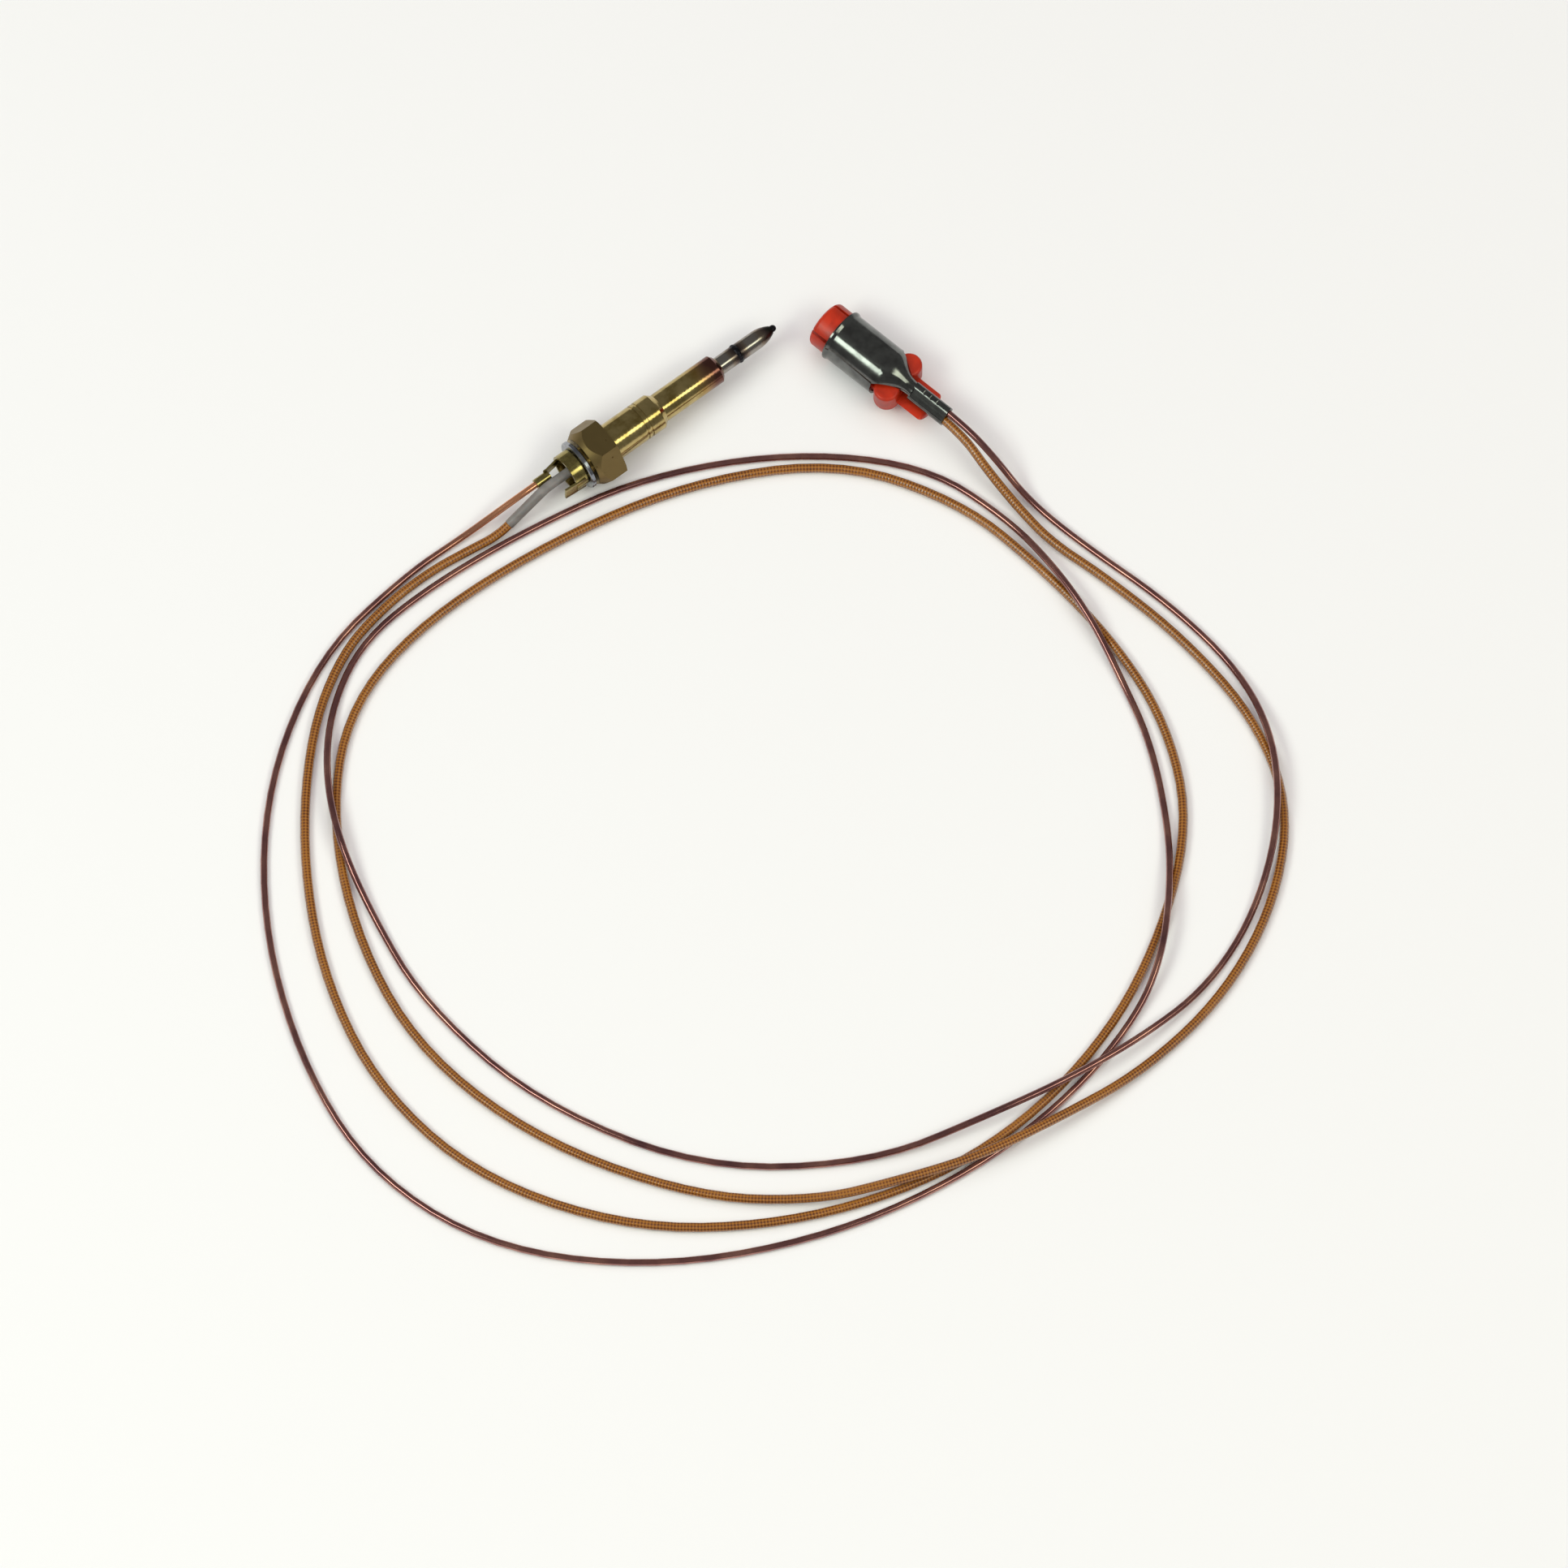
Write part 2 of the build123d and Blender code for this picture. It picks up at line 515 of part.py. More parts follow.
with BuildPart() as insulated_lead:
    with BuildLine() as insulated_line:
        FilletPolyline(*insulated_points, radius=bend_radii(insulated_points))
    with BuildSketch(Plane(origin=insulated_points[0], z_dir=insulated_points[1] - insulated_points[0])):
        Circle(INSULATED_DIAMETER / 2)
    sweep()

copper_lead.part.label = "copper_lead"
insulated_lead.part.label = "insulated_lead"
check_lead("copper_lead", copper_lead.part, copper_line, copper_points, COPPER_DIAMETER)
check_lead("insulated_lead", insulated_lead.part, insulated_line, insulated_points, INSULATED_DIAMETER)

# ---------------------------------------------------------------- connector
SHELL_RADIUS = SHELL_DIAMETER / 2
BORE_RADIUS = SHELL_RADIUS - SHELL_SHEET
LIP_RADIUS = LIP_DIAMETER / 2
BODY_RADIUS = BORE_RADIUS - FIT_CLEARANCE

# The shoulder's cross-sections from the tube to the barrel: each is a strip of sheet bent
# to an arc, given by its place along the tail, outer radius, the arc's centre height and
# half its spread in degrees.
SHOULDER_SECTIONS = [
    (SHELL_LENGTH, SHELL_RADIUS, 0.0, 64.0),
    (SHELL_LENGTH + 1.6, SHELL_RADIUS * 0.86, 0.45, 56.0),
    (SHELL_LENGTH + 3.4, SHELL_RADIUS * 0.5, 1.25, 66.0),
    (SHOULDER_END, LEAD_SPREAD + COPPER_DIAMETER / 2 + BARREL_SHEET, BARREL_HEIGHT, 88.0),
]

with BuildPart() as connector_shell:
    # The rolled tube with its flared lip.
    with BuildSketch(elevation):
        with BuildLine():
            Polyline((0, LIP_RADIUS - SHELL_SHEET), (0, LIP_RADIUS), (LIP_LENGTH * 0.35, LIP_RADIUS))
            Line((LIP_LENGTH * 0.35, LIP_RADIUS), (LIP_LENGTH, SHELL_RADIUS))
            Line((LIP_LENGTH, SHELL_RADIUS), (SHELL_LENGTH, SHELL_RADIUS))
            Line((SHELL_LENGTH, SHELL_RADIUS), (SHELL_LENGTH, BORE_RADIUS))
            Line((SHELL_LENGTH, BORE_RADIUS), (LIP_LENGTH, BORE_RADIUS))
            Line((LIP_LENGTH, BORE_RADIUS), (0, LIP_RADIUS - SHELL_SHEET))
        make_face()
    revolve(axis=connector_axis)
    # The shoulder, where the sheet narrows from the tube to a channel over the leads.
    for along, radius, centre_height, spread in SHOULDER_SECTIONS:
        inner = radius - BARREL_SHEET
        reach = math.radians(spread)
        with BuildSketch(mouth.offset(along)):
            with BuildLine():
                outer_arc = ThreePointArc(
                    (-radius * math.sin(reach), centre_height + radius * math.cos(reach)),
                    (0, centre_height + radius),
                    (radius * math.sin(reach), centre_height + radius * math.cos(reach)),
                )
                inner_arc = ThreePointArc(
                    (-inner * math.sin(reach), centre_height + inner * math.cos(reach)),
                    (0, centre_height + inner),
                    (inner * math.sin(reach), centre_height + inner * math.cos(reach)),
                )
                Line(outer_arc @ 0, inner_arc @ 0)
                Line(outer_arc @ 1, inner_arc @ 1)
            make_face()
    loft()
    # The barrel, closed round both leads with the copper one above and beside the other.
    with BuildSketch(mouth.offset(SHOULDER_END - 0.3)):
        with BuildLine():
            CenterArc(COPPER_IN_BARREL, COPPER_DIAMETER / 2 + FIT_CLEARANCE + BARREL_SHEET, 0, 360)
            CenterArc(INSULATED_IN_BARREL, INSULATED_DIAMETER / 2 + FIT_CLEARANCE + BARREL_SHEET, 0, 360)
        make_hull()
    extrude(amount=BARREL_END - SHOULDER_END + 0.3)
    with BuildSketch(mouth.offset(SHOULDER_END - 0.3)):
        with BuildLine():
            CenterArc(COPPER_IN_BARREL, COPPER_DIAMETER / 2 + FIT_CLEARANCE, 0, 360)
            CenterArc(INSULATED_IN_BARREL, INSULATED_DIAMETER / 2 + FIT_CLEARANCE, 0, 360)
        make_hull()
    extrude(amount=BARREL_END - SHOULDER_END + 0.3, mode=Mode.SUBTRACT)
    # The crimping tool's ridges across the barrel's top.
    barrel_top = COPPER_IN_BARREL[1] + COPPER_DIAMETER / 2 + FIT_CLEARANCE + BARREL_SHEET
    with BuildSketch(elevation):
        with Locations(*[(along, barrel_top + CRIMP_MARK_RADIUS - CRIMP_MARK_DEPTH) for along in CRIMP_MARKS]):
            Circle(CRIMP_MARK_RADIUS)
    extrude(amount=SHELL_DIAMETER / 2, both=True, mode=Mode.SUBTRACT)
    # The seam where the rolled sheet's edges meet, under the tube.
    with BuildSketch(plan.offset(-LIP_RADIUS - 1)):
        with Locations((SHELL_LENGTH / 2, 0)):
            Rectangle(SHELL_LENGTH + 2, SEAM_GAP)
    extrude(amount=LIP_RADIUS + 1 - BORE_RADIUS / 2, mode=Mode.SUBTRACT)
    # Round windows in both sides for the insulator's ears.
    with BuildSketch(plan.offset(-LIP_RADIUS - 1)):
        with Locations((EAR_X, EAR_OFFSET), (EAR_X, -EAR_OFFSET)):
            Circle(EAR_RADIUS + 0.15)
    extrude(amount=LIP_RADIUS + 1 + EAR_TOP + 0.15, mode=Mode.SUBTRACT)

with BuildPart() as connector_insulator:
    # Turned form: slit nose, body in the shell.
    with BuildSketch(mouth.offset(-NOSE_REACH)):
        Circle(NOSE_DIAMETER / 2)
    extrude(amount=NOSE_REACH)
    nose_rim = connector_insulator.faces().sort_by(connector_axis)[0].edges()
    fillet(nose_rim, radius=NOSE_ROUND)
    with BuildSketch(mouth):
        Circle(BODY_RADIUS)
    extrude(amount=INSULATOR_BODY_END)
    # Behind the shell only the lower half goes on, as a saddle that joins the two ears.
    with BuildSketch(mouth.offset(INSULATOR_BODY_END)):
        Circle(SADDLE_RADIUS)
        with Locations((0, SADDLE_TOP + SADDLE_RADIUS)):
            Rectangle(2 * SADDLE_RADIUS + 1, 2 * SADDLE_RADIUS, mode=Mode.SUBTRACT)
    extrude(amount=SADDLE_END - INSULATOR_BODY_END)
    with BuildSketch(mouth.offset(-NOSE_REACH)):
        Circle(NOSE_BORE / 2)
    extrude(amount=NOSE_DEPTH, mode=Mode.SUBTRACT)
    with BuildSketch(mouth.offset(-NOSE_REACH)):
        with PolarLocations(NOSE_DIAMETER / 2, SLIT_COUNT, start_angle=SLIT_ANGLE):
            Rectangle(NOSE_DIAMETER - NOSE_BORE + 1, SLIT_WIDTH)
    extrude(amount=SLIT_DEPTH, mode=Mode.SUBTRACT)
    # The half-round tongue under the barrel, with a channel for the insulated lead's core.
    with BuildSketch(mouth.offset(SADDLE_END)):
        Circle(TONGUE_WIDTH / 2)
        with Locations((0, TONGUE_TOP + TONGUE_WIDTH / 2)):
            Rectangle(TONGUE_WIDTH + 1, TONGUE_WIDTH, mode=Mode.SUBTRACT)
    extrude(amount=TONGUE_END - SADDLE_END)
    tongue_rim = connector_insulator.faces().sort_by(connector_axis)[-1].edges()
    fillet(tongue_rim, radius=TONGUE_ROUND)
    # Two ears that stand out through the shell's windows, their edges rounded.
    with BuildPart(mode=Mode.PRIVATE) as ears:
        with BuildSketch(plan.offset(EAR_BOTTOM)):
            with Locations((EAR_X, EAR_OFFSET), (EAR_X, -EAR_OFFSET)):
                Circle(EAR_RADIUS)
        extrude(amount=EAR_TOP - EAR_BOTTOM)
        fillet(ears.edges().filter_by(GeomType.CIRCLE), radius=EAR_ROUND)
    add(ears.part)
    # Seats for the centre contact and its tail.
    with BuildSketch(mouth.offset(NOSE_DEPTH - NOSE_REACH)):
        Circle(CONTACT_BORE / 2 + CONTACT_WALL + FIT_CLEARANCE)
    extrude(amount=CONTACT_BACK - NOSE_DEPTH + NOSE_REACH, mode=Mode.SUBTRACT)
    with BuildSketch(mouth.offset(CONTACT_BACK)):
        Circle(CONTACT_TAIL_DIAMETER / 2 + FIT_CLEARANCE)
    extrude(amount=CONTACT_TAIL_END + 1 - CONTACT_BACK, mode=Mode.SUBTRACT)
    with BuildSketch(plan):
        with Locations(((CONTACT_TAIL_END + SADDLE_END) / 2 + 1, 0)):
            Rectangle(SADDLE_END - CONTACT_TAIL_END + 2, TONGUE_CHANNEL)
    extrude(amount=TONGUE_CHANNEL / 2, both=True, mode=Mode.SUBTRACT)

with BuildPart() as centre_contact:
    with BuildSketch(mouth.offset(CONTACT_FRONT)):
        Circle(CONTACT_BORE / 2 + CONTACT_WALL)
    extrude(amount=CONTACT_BACK - CONTACT_FRONT)
    with BuildSketch(mouth.offset(CONTACT_BACK)):
        Circle(CONTACT_TAIL_DIAMETER / 2)
    extrude(amount=CONTACT_TAIL_END - CONTACT_BACK)
    with BuildSketch(mouth.offset(CONTACT_FRONT)):
        Circle(CONTACT_BORE / 2)
    extrude(amount=CONTACT_BACK - CONTACT_WALL - CONTACT_FRONT, mode=Mode.SUBTRACT)
    with BuildSketch(mouth.offset(CONTACT_TAIL_END)):
        Circle(CORE_DIAMETER / 2 + FIT_CLEARANCE)
    extrude(amount=-CONTACT_TAIL_END + CONTACT_BACK + 1, mode=Mode.SUBTRACT)

core_points = [
    in_connector(LEAD_STOP, *INSULATED_IN_BARREL),
    in_connector(SHOULDER_END - 0.6, *INSULATED_IN_BARREL),
    in_connector(SADDLE_END - 2.0, 0, 0),
    in_connector(CONTACT_BACK + 1.2, 0, 0),
]
with BuildPart() as lead_core_connector_end:
    with BuildLine():
        FilletPolyline(*core_points, radius=1.5)
    with BuildSketch(Plane(origin=core_points[0], z_dir=-tail)):
        Circle(CORE_DIAMETER / 2)
    sweep()

connector_shell.part.label = "connector_shell"
connector_insulator.part.label = "connector_insulator"
centre_contact.part.label = "centre_contact"
lead_core_connector_end.part.label = "lead_core_connector_end"

# ---------------------------------------------------------------- export
for piece in (
    hex_body,
    probe_tube,
    probe_weld_ring,
    probe_tip,
    hot_junction_bead,
    braze_ring,
    electrode,
    electrode_insulation,
    rear_bush,
    retaining_washer,
    earth_terminal,
    splice_sleeve,
    splice_ferrule,
    lead_core_head_end,
    copper_lead,
    insulated_lead,
    connector_shell,
    connector_insulator,
    centre_contact,
    lead_core_connector_end,
):
    export_step(piece.part, f"parts/{piece.part.label}.step")
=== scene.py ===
"""Gas hob thermocouple: a brass burner head, two free leads and a push-on connector.

Everything is in metres, in the part's own frame: the origin is the centre of the
hexagon's front face, +X runs along the head to the probe's tip and +Z is up. The head
and the leads lie on a table at TABLE_Z.
"""

import logging
import math
from collections.abc import Sequence
from dataclasses import dataclass, field
from enum import Enum

import bpy
from mathutils import Matrix, Vector

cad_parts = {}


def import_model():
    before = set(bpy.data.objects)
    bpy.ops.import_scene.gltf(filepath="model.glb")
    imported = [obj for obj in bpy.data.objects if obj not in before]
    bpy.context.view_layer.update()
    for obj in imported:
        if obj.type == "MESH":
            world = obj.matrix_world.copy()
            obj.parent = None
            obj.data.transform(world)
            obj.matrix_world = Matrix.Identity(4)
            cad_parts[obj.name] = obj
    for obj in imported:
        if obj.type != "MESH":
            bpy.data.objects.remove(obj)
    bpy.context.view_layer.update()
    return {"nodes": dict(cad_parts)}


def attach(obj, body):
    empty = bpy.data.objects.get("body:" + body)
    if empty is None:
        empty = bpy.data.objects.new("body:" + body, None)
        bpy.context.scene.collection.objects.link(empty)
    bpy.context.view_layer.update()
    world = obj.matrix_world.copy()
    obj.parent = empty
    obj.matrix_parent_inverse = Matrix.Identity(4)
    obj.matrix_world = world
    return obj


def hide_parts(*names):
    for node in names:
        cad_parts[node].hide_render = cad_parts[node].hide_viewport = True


LOG = logging.getLogger("thermocouple")
MM = 0.001
HEX_ACROSS_FLATS = 10.0 * MM
TABLE_Z = -HEX_ACROSS_FLATS / 2
TAIL_HEADING = math.radians(-78.3)  # the way the connector's tail points
FIXED_BODY = "thermocouple"  # of everything but the washer
SENSOR_WIDTH = 36.0  # the camera's, in millimetres
WAVE_RATE = 20.0  # radians that a wave texture of scale 1 turns in a metre
# The Mix node's sockets by place, because its colours and its numbers share their names.
COLOUR_A, COLOUR_B, COLOUR_OUT = 6, 7, 2
NUMBER_A, NUMBER_B, NUMBER_OUT = 2, 3, 0


class Pattern(str, Enum):
    """The coordinates that a finish's pattern is laid out in."""

    PLACE = "Object"
    ALONG_THE_PIECE = "UV"


def linear(colour: str) -> tuple[float, float, float, float]:
    """Turn an sRGB hex value to a linear colour.

    Args:
        colour: Six hex digits after a hash sign.

    Returns:
        Red, green, blue and a full alpha, in linear light.
    """
    parts = (int(colour[at : at + 2], 16) / 255 for at in (1, 3, 5))
    red, green, blue = (
        part / 12.92 if part <= 0.04045 else ((part + 0.055) / 1.055) ** 2.4 for part in parts
    )
    return red, green, blue, 1.0


# ------------------------------------------------------------------------ finishes


def add_node(
    tree: bpy.types.NodeTree,
    kind: str,
    inputs: dict[str | int, object] | None = None,
    stops: Sequence[tuple[float, str]] = (),
    **settings: object,
) -> bpy.types.Node:
    """Add one node with its settings, its ramp's stops and its links.

    Args:
        tree: The material's node tree.
        kind: The node's type.
        inputs: A value or another node's output for each named input.
        stops: Places and sRGB hex colours for a colour ramp.
        settings: The node's own properties.

    Returns:
        The new node.
    """
    node = tree.nodes.new(kind)
    for name, value in settings.items():
        setattr(node, name, value)
    for key, value in (inputs or {}).items():
        if isinstance(value, bpy.types.NodeSocket):
            tree.links.new(value, node.inputs[key])
        else:
            node.inputs[key].default_value = value
    for index, (place, colour) in enumerate(stops):
        element = (
            node.color_ramp.elements[index] if index < 2 else node.color_ramp.elements.new(place)
        )
        element.position = place
        element.color = linear(colour)
    return node


@dataclass(frozen=True)
class Finish:
    """A real finish: its even values, and a pattern of its own."""

    name: str
    colour: str
    roughness: float
    metallic: float = 0.0

    def make(self) -> bpy.types.Material:
        """Build the material.

        Returns:
            The material with its pattern linked to its shader.
        """
        material = bpy.data.materials.new(self.name)
        material.use_nodes = True
        tree = material.node_tree
        tree.nodes.clear()
        shader = add_node(
            tree,
            "ShaderNodeBsdfPrincipled",
            {
                "Base Color": linear(self.colour),
                "Roughness": self.roughness,
                "Metallic": self.metallic,
            },
        )
        add_node(tree, "ShaderNodeOutputMaterial", {"Surface": shader.outputs["BSDF"]})
        self.pattern(tree, shader)
        return material

    def pattern(self, tree: bpy.types.NodeTree, shader: bpy.types.Node) -> None:
        """Link the finish's pattern to the shader.

        Args:
            tree: The material's node tree.
            shader: Its Principled shader.
        """
        raise NotImplementedError


@dataclass(frozen=True)
class TurnedBrass(Finish):
    """Free-cutting brass turned from hexagon bar, the front end browned by the torch.

    Fine turning rings run round the barrel; the hexagon's flats keep the drawn bar's
    duller skin, with small nicks from handling.
    """

    name: str = "turned free-cutting brass"
    colour: str = "#b6a26c"
    roughness: float = 0.17
    metallic: float = 1.0
    skin: str = "#86724a"
    nick: str = "#5a4420"
    ring_pitch: float = 0.7 * MM  # the tool's feed is finer and is drawn coarse enough to show
    ring_depth: float = 0.012 * MM
    patina_size: float = 2.4 * MM
    patina_dullness: float = 0.16
    nick_spacing: float = 1.9 * MM
    nick_depth: float = -3.0  # against the height of the rings
    skin_grit: float = 0.25 * MM
    skin_dullness: float = 0.3
    flats_from: float = 4.2 * MM  # distance from the axis
    flats_blend: float = 0.3 * MM
    tint_start: float = 17.5 * MM
    tint_end: float = 22.6 * MM
    tint_waver: float = 2.2 * MM

    def pattern(self, tree: bpy.types.NodeTree, shader: bpy.types.Node) -> None:
        """Draw the turning rings, the bar's skin, the nicks and the torch's tint."""
        place = add_node(tree, "ShaderNodeTexCoord").outputs[Pattern.PLACE.value]
        axes = add_node(tree, "ShaderNodeSeparateXYZ", {"Vector": place})
        across = add_node(
            tree,
            "ShaderNodeVectorMath",
            {0: place, 1: (0.0, 1.0, 1.0)},
            operation="MULTIPLY",
        )
        radius = add_node(
            tree, "ShaderNodeVectorMath", {0: across.outputs["Vector"]}, operation="LENGTH"
        )
        skin = add_node(
            tree,
            "ShaderNodeMapRange",
            {
                "Value": radius.outputs["Value"],
                "From Min": self.flats_from,
                "From Max": self.flats_from + self.flats_blend,
            },
        )
        cloud = add_node(
            tree,
            "ShaderNodeTexNoise",
            {"Vector": place, "Scale": 1 / self.patina_size, "Detail": 4.0, "Roughness": 0.6},
        )
        patina = add_node(
            tree,
            "ShaderNodeValToRGB",
            {"Fac": cloud.outputs["Fac"]},
            stops=((0.3, "#957f45"), (0.52, self.colour), (0.72, "#c6b078")),
        )
        warped = add_node(
            tree,
            "ShaderNodeMath",
            {0: cloud.outputs["Fac"], 1: self.tint_waver, 2: axes.outputs["X"]},
            operation="MULTIPLY_ADD",
        )
        heat = add_node(
            tree,
            "ShaderNodeMapRange",
            {
                "Value": warped.outputs["Value"],
                "From Min": self.tint_start,
                "From Max": self.tint_end,
            },
        )
        tint = add_node(
            tree,
            "ShaderNodeValToRGB",
            {"Fac": heat.outputs["Result"]},
            stops=((0.0, self.colour), (0.4, "#a5783f"), (0.75, "#7c5040"), (1.0, "#6a453c")),
        )
        tinted = add_node(
            tree,
            "ShaderNodeMix",
            {
                "Factor": heat.outputs["Result"],
                COLOUR_A: patina.outputs["Color"],
                COLOUR_B: tint.outputs["Color"],
            },
            data_type="RGBA",
        )
        barred = add_node(
            tree,
            "ShaderNodeMix",
            {
                "Factor": skin.outputs["Result"],
                COLOUR_A: tinted.outputs[COLOUR_OUT],
                COLOUR_B: linear(self.skin),
            },
            data_type="RGBA",
        )
        specks = add_node(
            tree,
            "ShaderNodeTexVoronoi",
            {"Vector": place, "Scale": 1 / self.nick_spacing, "Randomness": 1.0},
        )
        nick = add_node(
            tree,
            "ShaderNodeMapRange",
            {
                "Value": specks.outputs["Distance"],
                "From Min": 0.05,
                "From Max": 0.12,
                "To Min": 1.0,
                "To Max": 0.0,
            },
        )
        nick_on_skin = add_node(
            tree,
            "ShaderNodeMath",
            {0: nick.outputs["Result"], 1: skin.outputs["Result"]},
            operation="MULTIPLY",
        )
        coloured = add_node(
            tree,
            "ShaderNodeMix",
            {
                "Factor": nick_on_skin.outputs["Value"],
                COLOUR_A: barred.outputs[COLOUR_OUT],
                COLOUR_B: linear(self.nick),
            },
            data_type="RGBA",
        )
        tree.links.new(coloured.outputs[COLOUR_OUT], shader.inputs["Base Color"])
        rings = add_node(
            tree,
            "ShaderNodeTexWave",
            {
                "Vector": place,
                "Scale": 2 * math.pi / (WAVE_RATE * self.ring_pitch),
                "Distortion": 0.4,
                "Detail": 2.0,
                "Detail Scale": 1.5,
            },
            wave_type="BANDS",
            bands_direction="X",
        )
        grit = add_node(
            tree,
            "ShaderNodeTexNoise",
            {"Vector": place, "Scale": 1 / self.skin_grit, "Detail": 3.0},
        )
        relief = add_node(
            tree,
            "ShaderNodeMix",
            {
                "Factor": skin.outputs["Result"],
                NUMBER_A: rings.outputs["Fac"],
                NUMBER_B: grit.outputs["Fac"],
            },
            data_type="FLOAT",
        )
        notched = add_node(
            tree,
            "ShaderNodeMath",
            {
                0: nick_on_skin.outputs["Value"],
                1: self.nick_depth,
                2: relief.outputs[NUMBER_OUT],
            },
            operation="MULTIPLY_ADD",
        )
        bump = add_node(
            tree,
            "ShaderNodeBump",
            {"Height": notched.outputs["Value"], "Distance": self.ring_depth, "Strength": 0.6},
        )
        tree.links.new(bump.outputs["Normal"], shader.inputs["Normal"])
        dullness = add_node(
            tree,
            "ShaderNodeMath",
            {
                0: cloud.outputs["Fac"],
                1: self.patina_dullness,
                2: self.roughness - self.patina_dullness / 2,
            },
            operation="MULTIPLY_ADD",
        )
        duller = add_node(
            tree,
            "ShaderNodeMath",
            {0: skin.outputs["Result"], 1: self.skin_dullness, 2: dullness.outputs["Value"]},
            operation="MULTIPLY_ADD",
        )
        tree.links.new(duller.outputs["Value"], shader.inputs["Roughness"])


@dataclass(frozen=True)
class SheetMetal(Finish):
    """Rolled sheet or drawn wire: faint lines one way, and soft stains.

    The lines are stretched along the given heading, so that highlights break up only
    a little across them.
    """

    name: str = "plated sheet"
    colour: str = "#b8b8b4"
    stain: str = "#8f8f8d"
    roughness: float = 0.2
    metallic: float = 1.0
    grain: float = 0.3 * MM
    stretch: tuple[float, float, float] = (0.08, 1.0, 1.0)
    heading: float = 0.0
    depth: float = 0.006 * MM
    stain_size: float = 2.2 * MM
    scuff_size: float = 0.9 * MM

    def pattern(self, tree: bpy.types.NodeTree, shader: bpy.types.Node) -> None:
        """Draw the roller lines, the stains and a few scuffs."""
        place = add_node(tree, "ShaderNodeTexCoord").outputs[Pattern.PLACE.value]
        turned = add_node(
            tree,
            "ShaderNodeVectorRotate",
            {"Vector": place, "Angle": -self.heading},
            rotation_type="Z_AXIS",
        )
        stretched = add_node(
            tree,
            "ShaderNodeVectorMath",
            {0: turned.outputs["Vector"], 1: self.stretch},
            operation="MULTIPLY",
        )
        lines = add_node(
            tree,
            "ShaderNodeTexNoise",
            {"Vector": stretched.outputs["Vector"], "Scale": 1 / self.grain, "Detail": 3.0},
        )
        cloud = add_node(
            tree,
            "ShaderNodeTexNoise",
            {"Vector": place, "Scale": 1 / self.stain_size, "Detail": 5.0, "Roughness": 0.62},
        )
        colour = add_node(
            tree,
            "ShaderNodeValToRGB",
            {"Fac": cloud.outputs["Fac"]},
            stops=((0.36, self.stain), (0.6, self.colour)),
        )
        tree.links.new(colour.outputs["Color"], shader.inputs["Base Color"])
        scuffs = add_node(
            tree,
            "ShaderNodeTexNoise",
            {"Vector": stretched.outputs["Vector"], "Scale": 1 / self.scuff_size, "Detail": 2.0},
        )
        scuffed = add_node(
            tree,
            "ShaderNodeMapRange",
            {
                "Value": scuffs.outputs["Fac"],
                "From Min": 0.35,
                "From Max": 0.75,
                "To Min": self.roughness * 0.7,
                "To Max": self.roughness * 1.7,
            },
        )
        tree.links.new(scuffed.outputs["Result"], shader.inputs["Roughness"])
        bump = add_node(
            tree,
            "ShaderNodeBump",
            {"Height": lines.outputs["Fac"], "Distance": self.depth, "Strength": 0.5},
        )
        tree.links.new(bump.outputs["Normal"], shader.inputs["Normal"])


